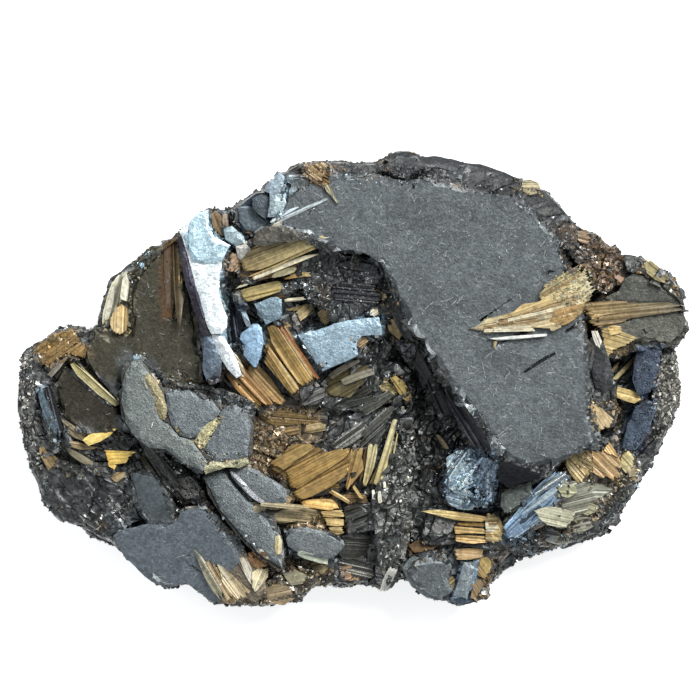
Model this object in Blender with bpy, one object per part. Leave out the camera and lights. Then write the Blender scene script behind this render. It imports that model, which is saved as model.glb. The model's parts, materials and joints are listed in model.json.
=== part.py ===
"""Rutile on hematite: a broken group of platy hematite crystals with golden sheaves of rutile on it.

Outlines and heights are in millimetres and are turned into metres when a mesh is made.
The stone lies on its flat underside, its long side along X, +Z up. The origin is under its middle.
"""

import math
import random

import bmesh
import bpy
from mathutils import Matrix, Vector
from mathutils.bvhtree import BVHTree

# Driving dimensions, in millimetres.
STONE_LENGTH = 50.4  # along X; every outline below is drawn for this length
RIM_HEIGHT = 3.6  # height of the widest outline
BODY_TOP = 5.0  # top of the body that carries the plates
FLOOR_TOP = 6.0  # broken floor in the middle
SHELF_TOP = 8.4  # the diagonal plates on the west side
PLATE_TOP = 11.6  # the great plate on the north-east side
ROOT = 3.9  # where the plates are rooted, inside the body
GAP = 0.3  # space between a rutile sheaf and its socket

WAIST_SCALE = (0.95, 0.93)  # the middle layer, against the widest outline
FOOT_SCALE = (0.87, 0.83)  # the lowest layer, against the widest outline
UNDERCUT = (0.035, 0.045)  # how much narrower a layer is at its lower edge
SHOULDER = (0.015, 0.02)  # and at its upper edge
CHIP_STEP = 1.9  # length of one chip along a broken edge

DRAWN_LENGTH = 50.4
UNIT = 0.001 * STONE_LENGTH / DRAWN_LENGTH

HEMATITE_COLOUR = (0.13, 0.135, 0.14, 1.0)
GOLD = (0.52, 0.32, 0.11, 1.0)
AMBER = (0.34, 0.15, 0.06, 1.0)
STRAW = (0.58, 0.42, 0.24, 1.0)

SILHOUETTE = [
    (-25.2, -1.0), (-24.8, 1.9), (-23.4, 3.0), (-21.3, 3.9), (-19.2, 4.1), (-18.4, 7.0), (-17.2, 8.4),
    (-14.5, 10.3), (-12.6, 11.4), (-11.0, 12.7), (-8.8, 13.0), (-7.2, 14.0), (-6.2, 15.1), (-4.6, 16.1),
    (-2.6, 16.5), (1.7, 16.3), (3.3, 17.1), (5.2, 16.8), (8.7, 16.2), (12.6, 15.1), (14.5, 14.2),
    (16.5, 11.8), (18.2, 11.0), (20.2, 9.3), (21.6, 9.2), (23.8, 7.8), (24.8, 6.0), (25.2, 3.9),
    (24.0, 2.3), (24.5, 0.5), (24.4, -2.0), (22.8, -5.2), (21.5, -8.0), (19.7, -10.7), (18.5, -11.6),
    (14.8, -12.9), (12.9, -13.5), (10.2, -15.2), (10.1, -16.6), (8.0, -17.1), (5.6, -16.5), (3.5, -14.4),
    (2.5, -15.8), (-2.8, -15.5), (-4.0, -16.6), (-7.0, -17.1), (-10.8, -16.7), (-12.4, -15.4),
    (-14.1, -15.7), (-15.4, -14.8), (-18.4, -12.2), (-21.9, -10.7), (-22.9, -9.6), (-24.3, -6.5),
    (-25.1, -3.0),
]


def clear_scene():
    for thing in list(bpy.data.objects):
        bpy.data.objects.remove(thing, do_unlink=True)


def new_collection(name):
    collection = bpy.data.collections.new(name)
    bpy.context.scene.collection.children.link(collection)
    return collection


def material(name, colour, roughness, metallic):
    made = bpy.data.materials.new(name)
    made.use_nodes = True
    shader = made.node_tree.nodes["Principled BSDF"]
    shader.inputs["Base Color"].default_value = colour
    shader.inputs["Roughness"].default_value = roughness
    shader.inputs["Metallic"].default_value = metallic
    return made


def add_object(name, bm, collection, finish=None):
    """Turn a bmesh in millimetres into an object in metres, with its faces pointing out."""
    bmesh.ops.scale(bm, vec=(UNIT, UNIT, UNIT), verts=bm.verts)
    bmesh.ops.recalc_face_normals(bm, faces=bm.faces)
    mesh = bpy.data.meshes.new(name)
    bm.to_mesh(mesh)
    bm.free()
    made = bpy.data.objects.new(name, mesh)
    if finish:
        mesh.materials.append(finish)
    collection.objects.link(made)
    return made


def hide_guide(guide):
    guide.hide_render = True
    guide.display_type = "WIRE"


def union_with(target, other):
    joined = target.modifiers.new(other.name, "BOOLEAN")
    joined.operation = "UNION"
    joined.object = other


def boolean_with_all(target, operation, collection):
    changed = target.modifiers.new(collection.name, "BOOLEAN")
    changed.operation = operation
    changed.operand_type = "COLLECTION"
    changed.collection = collection
    keep_evaluated(target)


def keep_evaluated(target):
    """Replace an object's mesh with its modified one."""
    bpy.context.view_layer.update()
    graph = bpy.context.evaluated_depsgraph_get()
    mesh = bpy.data.meshes.new_from_object(target.evaluated_get(graph))
    target.modifiers.clear()
    target.data = mesh
    mesh.name = target.name


# ---- broken slabs -------------------------------------------------------------------------------


def outward(points, index):
    """Unit vector that points out of a clockwise outline at one of its corners."""
    along = (points[(index + 1) % len(points)] - points[index - 1]).normalized()
    return Vector((-along.y, along.x))


def moved_out(points, distance):
    return [point + outward(points, index) * distance for index, point in enumerate(points)]


def chipped(outline, chip, rng):
    """Break an outline's long edges into chips about CHIP_STEP long."""
    corners = [Vector(point) for point in outline]
    broken = []
    for index, corner in enumerate(corners):
        edge = corners[(index + 1) % len(corners)] - corner
        side = Vector((-edge.y, edge.x)).normalized()
        broken.append(corner)
        pieces = int(edge.length / CHIP_STEP)
        for step in range(1, pieces + 1):
            share = (step + rng.uniform(-0.25, 0.25)) / (pieces + 1)
            broken.append(corner + edge * share + side * rng.uniform(-chip, 0.6 * chip))
    return broken


def loft(rings):
    """Loft through rings of equally many points, bottom first, with a cap at each end."""
    bm = bmesh.new()
    loops = [[bm.verts.new(point) for point in ring] for ring in rings]
    bm.faces.new(reversed(loops[0]))
    bm.faces.new(loops[-1])
    for lower, upper in zip(loops, loops[1:]):
        for index in range(len(lower)):
            after = (index + 1) % len(lower)
            bm.faces.new((lower[index], lower[after], upper[after], upper[index]))
    return bm


def slab(name, outline, top, tilt=(0.0, 0.0), flare=0.5, chip=0.25):
    """A broken plate: flat tilted top, fractured sides that flare out below, root inside the body."""
    rng = random.Random(name)
    edge = chipped(outline, chip, rng)
    middle = sum(edge, Vector((0.0, 0.0))) / len(edge)

    def plane(point):
        return top + tilt[0] * (point.x - middle.x) + tilt[1] * (point.y - middle.y)

    low = [Vector((p.x, p.y, ROOT)) for p in moved_out(edge, flare)]
    shoulder = []
    for index, point in enumerate(edge):
        share = rng.uniform(0.4, 0.8)
        place = point + outward(edge, index) * flare * rng.uniform(0.0, 0.5)
        shoulder.append(Vector((place.x, place.y, ROOT + share * (plane(point) - ROOT))))
    high = [Vector((p.x, p.y, plane(p))) for p in edge]
    plate = add_object(name, loft([low, shoulder, high]), PLATES)
    hide_guide(plate)


def scaled_ring(edge, scale, height, rough, rng):
    return [
        Vector((
            point.x * scale[0] + rng.uniform(-rough, rough),
            point.y * scale[1] + rng.uniform(-rough, rough),
            height,
        ))
        for point in edge
    ]


def layer(name, group, stride, chip, scale, low, widest, high):
    """One broken layer of the body: narrow below, widest part-way up, a little narrower on top.

    stride skips points of the silhouette, so that a lower layer has longer, plainer breaks.
    """
    rng = random.Random(name)
    edge = chipped(SILHOUETTE[::stride], chip, rng)
    under = (scale[0] - UNDERCUT[0], scale[1] - UNDERCUT[1])
    shoulder = (scale[0] - SHOULDER[0], scale[1] - SHOULDER[1])
    rings = [
        scaled_ring(edge, under, low, 0.0, rng),
        scaled_ring(edge, scale, widest, 0.0, rng),
        scaled_ring(edge, shoulder, high, 0.1, rng),
    ]
    return add_object(name, loft(rings), group)


def body():
    """Three stacked broken layers that carry the plates; the lowest one has the flat underside."""
    stone = layer("hematite", PARTS, 1, 0.3, (1.0, 1.0), low=2.3, widest=RIM_HEIGHT, high=BODY_TOP)
    stone.data.materials.append(HEMATITE)
    waist = layer("waist", PLATES, 2, 0.7, WAIST_SCALE, low=1.0, widest=2.155, high=3.1)
    foot = layer("foot", PLATES, 3, 1.1, FOOT_SCALE, low=0.0, widest=1.045, high=1.9)
    hide_guide(waist)
    hide_guide(foot)
    return stone


# ---- hematite -----------------------------------------------------------------------------------

GREAT_PLATE = [
    (-5.0, 14.9), (-1.5, 15.4), (5.4, 15.0), (11.6, 13.6), (13.6, 12.6), (14.8, 11.0), (15.6, 9.2),
    (16.6, 7.0), (17.2, 4.2), (17.9, 2.0), (17.6, -1.6), (18.2, -4.9), (16.4, -5.5), (14.4, -7.2),
    (12.3, -7.2), (10.8, -6.0), (8.9, -2.6), (7.2, -0.6), (5.8, 1.7), (4.0, 3.9), (3.0, 5.9), (2.4, 8.4),
    (1.0, 9.4), (-1.6, 9.6), (-4.0, 10.8), (-6.4, 11.2), (-5.4, 12.8),
]
NORTH_RIM = [
    (-4.0, 15.9), (1.7, 16.1), (3.4, 16.9), (5.2, 16.6), (8.6, 16.1), (12.6, 14.9), (14.4, 14.0),
    (16.6, 11.4), (16.4, 9.5), (13.8, 9.7), (8.7, 12.0), (3.4, 13.4), (-2.8, 14.0),
]
DIAGONAL_A = [
    (-16.0, 1.5), (-15.0, 0.9), (-14.5, -0.4), (-13.9, -1.8), (-13.9, -2.6), (-14.4, -3.1), (-12.4, -4.6),
    (-11.4, -5.5), (-10.7, -6.4), (-11.3, -6.9), (-13.2, -5.7), (-15.1, -5.0), (-16.2, -4.0), (-17.1, -2.8),
    (-17.4, -1.0), (-16.8, 0.9),
]
HEARTH = [
    (-9.6, 9.6), (-7.0, 10.7), (-2.5, 10.0), (2.6, 6.7), (3.6, 3.7), (4.2, 0.5), (4.4, -4.0), (4.8, -7.8),
    (4.2, -12.0), (2.8, -14.8), (-2.5, -15.0), (-5.0, -13.9), (-5.4, -11.0), (-7.6, -8.8), (-8.0, -4.6),
    (-9.8, -0.8), (-10.6, 3.0),
]


def great_plate():
    slab("north_rim", NORTH_RIM, PLATE_TOP - 2.6, tilt=(0.0, -0.5), flare=0.15, chip=0.35)
    slab("north_step", [
        (2.0, 15.6), (3.3, 16.6), (4.7, 16.6), (5.4, 15.8), (3.9, 14.9),
    ], PLATE_TOP - 0.5, tilt=(0.1, -0.2), flare=0.1)
    slab("great_plate", GREAT_PLATE, PLATE_TOP, tilt=(-0.015, 0.01), flare=0.6, chip=0.45)
    slab("plate_ledge", [
        (-3.4, 8.9), (2.6, 9.0), (4.4, 6.0), (7.6, 1.4), (11.4, -3.6), (13.4, -6.6), (11.6, -7.8),
        (9.4, -6.2), (7.0, -3.0), (4.4, 1.6), (2.2, 4.8), (-1.0, 7.4),
    ], PLATE_TOP - 3.4, tilt=(0.12, 0.12), flare=0.5, chip=0.5)
    slab("corner_facet", [
        (-6.6, 12.5), (-6.4, 14.2), (-5.6, 15.3), (-5.0, 15.4), (-4.8, 14.3), (-5.5, 12.2),
        (-6.3, 11.6),
    ], PLATE_TOP - 1.2, tilt=(-0.35, 0.1), flare=0.2)
    slab("corner_block", [
        (-8.6, 12.9), (-7.2, 13.9), (-6.4, 14.0), (-6.2, 13.0), (-6.6, 11.8), (-7.2, 11.0),
        (-8.2, 11.0), (-8.8, 11.7),
    ], PLATE_TOP - 2.4, tilt=(-0.15, 0.1), flare=0.15)
    slab("corner_chip", [
        (-9.6, 11.3), (-8.7, 11.4), (-8.0, 10.6), (-8.3, 9.7), (-9.2, 10.0),
    ], SHELF_TOP + 0.2, tilt=(0.1, 0.1), flare=0.2)


def west_plates():
    slab("west_plate", [
        (-17.0, 8.0), (-15.4, 9.6), (-13.2, 10.6), (-12.6, 8.3), (-11.9, 5.0), (-11.3, 1.5),
        (-11.2, -0.1), (-12.6, -1.0), (-15.3, 0.5), (-16.4, 1.6), (-17.4, 0.2), (-17.6, -1.6),
        (-18.6, -0.4), (-20.0, 1.8), (-19.4, 3.5), (-18.0, 4.0), (-17.4, 6.0),
    ], SHELF_TOP - 0.6, tilt=(0.05, -0.03), flare=0.15, chip=0.3)
    slab("bright_shard", [
        (-12.6, 10.7), (-11.6, 12.2), (-11.0, 12.4), (-10.6, 11.2), (-9.8, 10.2), (-9.2, 9.6),
        (-9.7, 7.9), (-9.9, 5.8), (-9.4, 4.7), (-9.4, 2.7), (-9.9, 0.0), (-10.6, -0.3), (-11.3, 0.8),
        (-11.6, 4.0), (-12.1, 6.5),
    ], SHELF_TOP + 1.4, tilt=(-0.28, 0.05), flare=0.2, chip=0.2)
    slab("west_stripe", [
        (-14.2, 10.2), (-13.2, 10.6), (-12.6, 8.0), (-12.9, 4.6), (-13.8, 4.2), (-14.1, 7.0),
    ], SHELF_TOP + 0.3, tilt=(0.3, 0.0), flare=0.1, chip=0.15)
    slab("west_lobe", [
        (-24.8, 1.3), (-23.4, 2.6), (-21.4, 3.5), (-19.0, 3.7), (-17.6, 1.4), (-17.0, -2.5),
        (-16.3, -4.6), (-17.7, -5.8), (-19.8, -5.9), (-21.9, -5.4), (-23.5, -6.0), (-24.6, -4.6),
        (-24.9, -1.2),
    ], FLOOR_TOP + 0.3, tilt=(0.03, 0.02), flare=0.1, chip=0.35)
    slab("dark_diamond", [
        (-22.5, -0.9), (-21.3, 1.3), (-20.3, 0.5), (-18.0, -1.8), (-16.9, -3.7), (-19.0, -3.9),
        (-20.5, -4.0), (-21.6, -2.9),
    ], FLOOR_TOP + 1.4, tilt=(0.08, -0.06), flare=0.3, chip=0.2)
    for index, shift in enumerate((0.0, 0.95)):
        slab("band_%d" % index, [
            (-23.5 + shift, -0.6), (-22.9 + shift, -0.8), (-22.2 + shift, -3.0), (-22.1 + shift, -5.1),
            (-22.6 + shift, -4.9), (-23.2 + shift, -2.8),
        ], FLOOR_TOP + 1.1 + 0.2 * index, tilt=(0.3, 0.0), flare=0.15, chip=0.1)
    slab("lobe_rim", [
        (-24.9, -1.0), (-24.6, 1.2), (-23.6, 2.2), (-22.9, 1.2), (-23.9, -0.6), (-24.2, -3.4),
        (-24.9, -3.6),
    ], FLOOR_TOP + 0.9, tilt=(0.1, 0.0), flare=0.1, chip=0.4)
    slab("southwest_slope", [
        (-24.0, -6.5), (-22.2, -5.8), (-19.2, -6.4), (-16.9, -6.5), (-16.2, -8.4), (-15.9, -10.6),
        (-18.0, -11.9), (-21.8, -10.5), (-22.7, -9.6),
    ], FLOOR_TOP - 0.1, tilt=(0.12, 0.1), flare=0.1, chip=0.4)
    slab("southwest_plate", [
        (-18.0, -12.0), (-15.3, -10.7), (-13.8, -10.9), (-12.9, -9.7), (-11.1, -9.3), (-9.6, -11.0),
        (-6.8, -14.0), (-6.5, -15.8), (-7.2, -16.8), (-10.6, -16.5), (-12.3, -15.2), (-14.1, -15.5),
        (-15.3, -14.6),
    ], FLOOR_TOP + 1.0, tilt=(-0.02, 0.08), flare=0.1, chip=0.3)
    slab("small_plate", [
        (-16.6, -7.0), (-15.2, -7.1), (-14.3, -8.0), (-13.4, -9.4), (-13.3, -10.8), (-15.5, -10.5),
        (-16.3, -9.0),
    ], FLOOR_TOP + 1.6, tilt=(0.1, 0.08), flare=0.2, chip=0.15)
    slab("fibrous_ledge", [
        (-15.9, -4.6), (-13.3, -6.4), (-11.4, -8.2), (-11.0, -9.3), (-12.9, -9.6), (-14.4, -7.6),
    ], FLOOR_TOP + 0.2, tilt=(0.1, 0.2), flare=0.2, chip=0.3)


def diagonal_plates():
    slab("diagonal_a", DIAGONAL_A, SHELF_TOP + 0.2, tilt=(-0.06, -0.1), flare=0.15, chip=0.15)
    slab("diagonal_b", [
        (-13.8, -0.9), (-13.0, -0.7), (-11.7, -1.1), (-10.5, -1.6), (-10.0, -2.3), (-10.6, -3.2),
        (-11.6, -4.2), (-12.9, -4.1), (-13.6, -2.8),
    ], SHELF_TOP + 0.5, tilt=(-0.08, -0.1), flare=0.15, chip=0.12)
    slab("diagonal_c", [
        (-10.2, -3.0), (-9.0, -2.4), (-8.2, -2.9), (-7.8, -4.4), (-7.8, -5.7), (-8.6, -6.1),
        (-10.6, -5.9), (-11.1, -5.0), (-10.8, -4.1),
    ], SHELF_TOP + 0.2, tilt=(-0.08, -0.1), flare=0.15, chip=0.12)
    slab("diagonal_d", [
        (-11.1, -7.4), (-10.4, -6.8), (-9.6, -7.0), (-8.4, -8.2), (-7.2, -9.4), (-6.2, -10.2),
        (-5.7, -11.2), (-5.2, -12.8), (-5.4, -14.0), (-6.6, -13.2), (-8.5, -10.9), (-10.2, -9.2),
    ], SHELF_TOP - 0.5, tilt=(-0.05, -0.08), flare=0.2, chip=0.15)
    slab("diagonal_e", [
        (-9.2, -6.9), (-8.5, -6.3), (-7.5, -6.3), (-6.5, -7.5), (-4.6, -8.9), (-5.1, -9.5),
        (-6.2, -9.6), (-7.6, -8.8),
    ], SHELF_TOP - 0.2, tilt=(-0.08, -0.1), flare=0.2, chip=0.12)
    slab("granular_crest", [
        (-14.9, 0.7), (-12.3, -0.2), (-8.9, -1.2), (-7.3, -1.9), (-7.5, -3.0), (-9.6, -2.6),
        (-11.5, -1.6), (-13.6, -1.2),
    ], SHELF_TOP - 0.4, tilt=(0.0, 0.1), flare=0.2, chip=0.35)


def middle():
    slab("hearth", HEARTH, FLOOR_TOP, tilt=(-0.06, 0.06), flare=0.3, chip=0.4)
    slab("fan_ledge", [
        (-9.2, 8.4), (-8.4, 10.0), (-6.6, 11.0), (-2.6, 10.3), (-1.2, 9.4), (-3.8, 7.8), (-7.6, 6.8),
    ], FLOOR_TOP + 3.2, tilt=(0.1, 0.2), flare=0.3, chip=0.4)
    slab("blade_ledge", [
        (-8.6, 6.6), (-5.4, 7.6), (-3.0, 7.6), (-4.4, 6.2), (-6.6, 5.2), (-8.6, 5.4),
    ], FLOOR_TOP + 2.0, tilt=(0.1, 0.2), flare=0.3, chip=0.3)
    slab("sheaf_seat", [
        (-9.0, 2.6), (-6.4, 4.4), (-4.6, 4.2), (-2.6, 0.6), (-3.2, -1.6), (-5.4, -2.8), (-7.6, -1.8),
    ], FLOOR_TOP + 1.3, tilt=(0.05, 0.12), flare=0.3, chip=0.4)
    slab("crown", [
        (-4.0, 8.8), (-2.7, 9.4), (1.7, 9.2), (2.6, 8.0), (2.8, 6.3), (3.4, 5.0), (2.2, 4.5),
        (-1.6, 4.3), (-3.2, 5.5), (-3.9, 7.0),
    ], FLOOR_TOP + 3.2, tilt=(0.1, 0.15), chip=0.5)
    slab("mirror_plate", [
        (-4.2, 3.4), (-2.1, 3.9), (-0.6, 4.3), (2.2, 4.7), (2.3, 3.4), (0.7, 3.1), (0.3, 1.9),
        (-0.6, 1.4), (-2.4, 0.7), (-3.5, 2.0),
    ], FLOOR_TOP + 3.0, tilt=(-0.1, -0.16), flare=0.2, chip=0.12)
    slab("mirror_chip", [
        (-7.5, 5.6), (-6.8, 5.9), (-5.7, 6.1), (-5.4, 5.5), (-5.5, 4.6), (-6.6, 4.2), (-7.2, 4.8),
    ], FLOOR_TOP + 2.6, tilt=(-0.1, -0.2), flare=0.15, chip=0.1)
    slab("mirror_strip", [
        (-8.4, 3.4), (-7.9, 4.0), (-7.1, 4.2), (-6.7, 3.4), (-6.8, 2.2), (-7.3, 0.9), (-8.1, 1.7),
    ], FLOOR_TOP + 2.2, tilt=(-0.1, -0.2), flare=0.15, chip=0.1)
    slab("dark_knob", [
        (0.4, 2.5), (0.9, 3.3), (2.4, 3.4), (3.0, 2.5), (2.6, 1.4), (0.6, 1.4),
    ], FLOOR_TOP + 1.4, tilt=(0.1, 0.0), flare=0.2, chip=0.2)
    slab("east_ridge", [
        (-4.0, -1.0), (-1.8, 0.4), (-0.5, 1.3), (0.8, 1.6), (2.6, 1.3), (3.7, 0.5), (4.2, -0.7),
        (3.3, -1.7), (0.0, -2.4), (-3.3, -1.9),
    ], FLOOR_TOP + 1.2, tilt=(0.12, -0.05), flare=0.3, chip=0.4)
    slab("fan_ridge", [
        (-2.4, -4.6), (-0.6, -2.8), (0.8, -2.1), (2.9, -1.9), (3.8, -2.6), (3.9, -4.4), (2.2, -3.6),
        (1.0, -5.6), (-0.8, -5.3),
    ], FLOOR_TOP + 1.0, tilt=(0.05, 0.05), flare=0.3, chip=0.4)
    slab("south_ridge", [
        (1.5, -9.1), (2.1, -7.3), (3.0, -5.2), (3.8, -4.4), (4.7, -6.6), (4.5, -9.2), (4.2, -11.3),
        (3.6, -13.4), (2.7, -15.4), (1.8, -15.2), (1.6, -12.4),
    ], FLOOR_TOP + 1.3, tilt=(0.05, 0.05), flare=0.15, chip=0.35)
    slab("blue_block", [
        (-5.2, -11.2), (-4.0, -10.8), (-2.4, -11.2), (-0.8, -12.1), (-1.9, -13.6), (-4.8, -13.1),
    ], FLOOR_TOP + 1.2, tilt=(0.05, 0.15), flare=0.2, chip=0.2)
    slab("dark_block", [
        (-0.6, -9.5), (1.1, -9.4), (1.7, -10.6), (1.4, -11.4), (-0.3, -11.7),
    ], FLOOR_TOP + 0.9, tilt=(0.2, 0.1), flare=0.2, chip=0.2)
    slab("south_knobs", [
        (-7.4, -15.6), (-5.8, -14.3), (-3.9, -14.1), (-2.4, -14.5), (-2.8, -15.3), (-4.0, -16.4),
        (-6.9, -16.8),
    ], FLOOR_TOP + 0.4, tilt=(0.1, 0.05), flare=0.1, chip=0.35)


def south_side():
    slab("south_body", [
        (4.2, -13.7), (3.8, -11.3), (4.4, -9.7), (6.5, -9.1), (9.5, -9.4), (11.4, -10.2),
        (11.6, -12.8), (10.2, -15.0), (9.8, -16.3), (8.0, -16.8), (5.7, -16.2), (4.4, -14.8),
    ], FLOOR_TOP - 0.1, tilt=(0.06, 0.04), flare=0.1, chip=0.35)
    slab("south_plate", [
        (4.1, -14.4), (4.4, -13.6), (5.4, -13.0), (6.6, -13.0), (7.2, -13.7), (7.1, -15.1),
        (6.4, -16.0), (5.0, -15.9),
    ], FLOOR_TOP + 1.3, tilt=(-0.08, 0.05), flare=0.1, chip=0.15)
    slab("blue_prong", [
        (8.1, -13.7), (9.3, -13.6), (9.2, -14.8), (8.6, -16.2), (7.4, -16.3), (7.9, -14.6),
    ], FLOOR_TOP + 0.9, tilt=(-0.2, 0.0), flare=0.15, chip=0.15)
    slab("southeast_body", [
        (11.0, -12.6), (10.7, -9.1), (11.1, -6.9), (14.4, -6.8), (17.7, -4.6), (20.4, -4.7),
        (21.4, -6.8), (20.8, -8.5), (19.3, -10.5), (18.3, -11.3), (15.2, -12.5), (12.8, -13.1),
    ], FLOOR_TOP + 0.8, tilt=(0.03, 0.1), flare=0.1, chip=0.4)
    slab("blue_crumb", [
        (6.7, -8.3), (7.2, -6.8), (7.8, -5.6), (9.0, -5.2), (10.4, -5.7), (10.8, -6.6), (10.7, -8.0),
        (10.2, -9.2), (8.3, -9.7),
    ], SHELF_TOP + 0.1, tilt=(0.1, 0.1), flare=0.3, chip=0.4)
    slab("black_wedge", [
        (10.9, -6.6), (12.1, -6.2), (14.1, -7.1), (13.1, -7.9), (11.7, -8.2),
    ], SHELF_TOP + 0.8, tilt=(0.1, 0.5), flare=0.2, chip=0.1)
    slab("olive_wedge", [
        (11.1, -8.2), (13.1, -7.8), (13.3, -8.5), (12.5, -9.6), (11.8, -10.1), (11.3, -9.4),
    ], SHELF_TOP + 0.2, tilt=(0.15, 0.0), flare=0.2, chip=0.1)
    slab("sheaf_ledge", [
        (11.3, -10.7), (12.5, -9.4), (13.7, -8.2), (14.9, -7.5), (16.2, -7.1), (16.0, -8.4),
        (15.4, -10.1), (14.4, -11.0), (12.9, -11.5), (11.8, -12.0),
    ], SHELF_TOP - 0.3, tilt=(0.12, 0.12), flare=0.2, chip=0.2)


def east_side():
    slab("east_plate", [
        (18.4, 5.8), (19.8, 6.5), (20.4, 7.6), (21.2, 8.1), (23.6, 6.6), (24.6, 5.2), (25.0, 3.8),
        (24.2, 2.7), (22.7, 2.3), (20.3, 2.4), (18.6, 2.0), (17.9, 3.7),
    ], SHELF_TOP + 0.1, tilt=(-0.05, 0.04), flare=0.1, chip=0.3)
    slab("east_crest", [
        (20.2, 8.9), (21.5, 9.1), (23.6, 7.7), (24.5, 6.0), (24.7, 5.1), (23.0, 6.9), (21.5, 7.8),
        (20.4, 8.0),
    ], SHELF_TOP + 0.9, tilt=(-0.1, -0.1), flare=0.1, chip=0.3)
    slab("east_crumble", [
        (15.8, 10.8), (18.1, 10.8), (20.0, 9.1), (20.2, 7.7), (19.4, 6.5), (18.4, 6.4), (17.2, 8.2),
        (15.6, 9.4),
    ], SHELF_TOP + 0.4, tilt=(-0.2, -0.1), flare=0.15, chip=0.45)
    slab("east_column_a", [
        (20.9, 0.5), (22.2, 2.0), (22.9, 2.4), (23.1, 1.3), (22.7, -0.5), (21.1, -1.0),
    ], SHELF_TOP - 0.6, tilt=(0.1, 0.1), flare=0.15, chip=0.3)
    slab("east_column_b", [
        (21.0, -2.3), (21.9, -1.5), (22.5, -1.9), (22.2, -3.5), (21.4, -5.0), (20.2, -5.3),
        (20.6, -3.8),
    ], SHELF_TOP - 1.0, tilt=(0.1, 0.1), flare=0.15, chip=0.3)
    slab("east_rim", [
        (22.6, 1.9), (23.8, 1.9), (24.2, 0.6), (24.2, -1.8), (23.6, -3.5), (22.6, -3.4), (22.2, -1.9),
        (22.7, -0.4),
    ], FLOOR_TOP + 0.9, tilt=(-0.1, 0.05), flare=0.1, chip=0.4)
    slab("east_spine", [
        (17.7, 2.5), (18.6, 2.7), (18.9, 1.4), (19.5, -0.4), (19.8, -2.3), (19.4, -3.5), (18.2, -3.9),
        (17.6, -1.6),
    ], SHELF_TOP + 0.6, tilt=(-0.25, 0.0), flare=0.2, chip=0.3)


def hematite():
    """All the grown-together plates, joined in one solid."""
    stone = body()
    great_plate()
    west_plates()
    diagonal_plates()
    middle()
    south_side()
    east_side()
    boolean_with_all(stone, "UNION", PLATES)
    return stone


# ---- rutile -------------------------------------------------------------------------------------


class Surface:
    """Answers how high the stone is at a place, in millimetres."""

    def __init__(self, stone):
        bm = bmesh.new()
        bm.from_mesh(stone.data)
        self.tree = BVHTree.FromBMesh(bm)
        bm.free()

    def height(self, x, y):
        start = Vector((x * UNIT, y * UNIT, 0.05))
        hit = self.tree.ray_cast(start, Vector((0.0, 0.0, -1.0)))[0]
        return hit.z / UNIT if hit else BODY_TOP


def blade(bm, start, end, width, thickness, taper):
    """A flat blade from start to end, its tip narrowed to a chisel."""
    along = end - start
    across = Vector((-along.y, along.x, 0.0)).normalized()
    up = along.cross(across).normalized()
    if up.z < 0.0:
        up.negate()
    verts = bmesh.ops.create_cube(bm, size=1.0)["verts"]
    for vertex in verts:
        tip = vertex.co.x > 0.0
        narrow = taper if tip else 1.0
        place = end if tip else start
        side = across * vertex.co.y * width * narrow
        vertex.co = place + side + up * vertex.co.z * thickness * (0.6 if tip else 1.0)


def sheaf(name, finish, root, tip, width, blades, lift=0.1, rise=0.3, spread=1.0, thickness=0.9,
          taper=0.45):
    """Blades side by side, grown together over their lower part, half sunk in the stone.

    root and tip are (x, y); width is at the root and spread is the width at the tips against it.
    lift is the height of the root's middle above the stone, and rise is how far the tips climb.
    """
    first = Vector((*root, SURFACE.height(*root) + lift))
    last = Vector((*tip, first.z + rise))
    along = (last - first).normalized()
    across = Vector((-along.y, along.x, 0.0)).normalized()
    each = width / blades
    for grow, group in ((GAP, SOCKETS), (0.0, CUTTERS)):
        rng = random.Random(name)
        pieces = []
        for index in range(blades):
            offset = (index - 0.5 * (blades - 1)) * each
            reach = rng.uniform(0.72, 1.0) if blades > 1 else 1.0
            step = Vector((0.0, 0.0, 0.16 * (index % 2) + rng.uniform(-0.05, 0.05)))
            start = first + across * offset + step - along * grow
            end = first.lerp(last, reach) + across * offset * spread + step + along * grow
            bm = bmesh.new()
            blade(bm, start, end, each * 1.25 + 2.0 * grow, thickness + 2.0 * grow, taper)
            piece = add_object("%s_%d" % (name, index), bm, group)
            hide_guide(piece)
            pieces.append(piece)
    made = pieces[0]
    for piece in pieces[1:]:
        union_with(made, piece)
    keep_evaluated(made)
    made.name = name
    made.data.name = name
    made.data.materials.append(finish)
    made.hide_render = False
    made.display_type = "TEXTURED"
    CUTTERS.objects.unlink(made)
    PARTS.objects.link(made)


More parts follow.
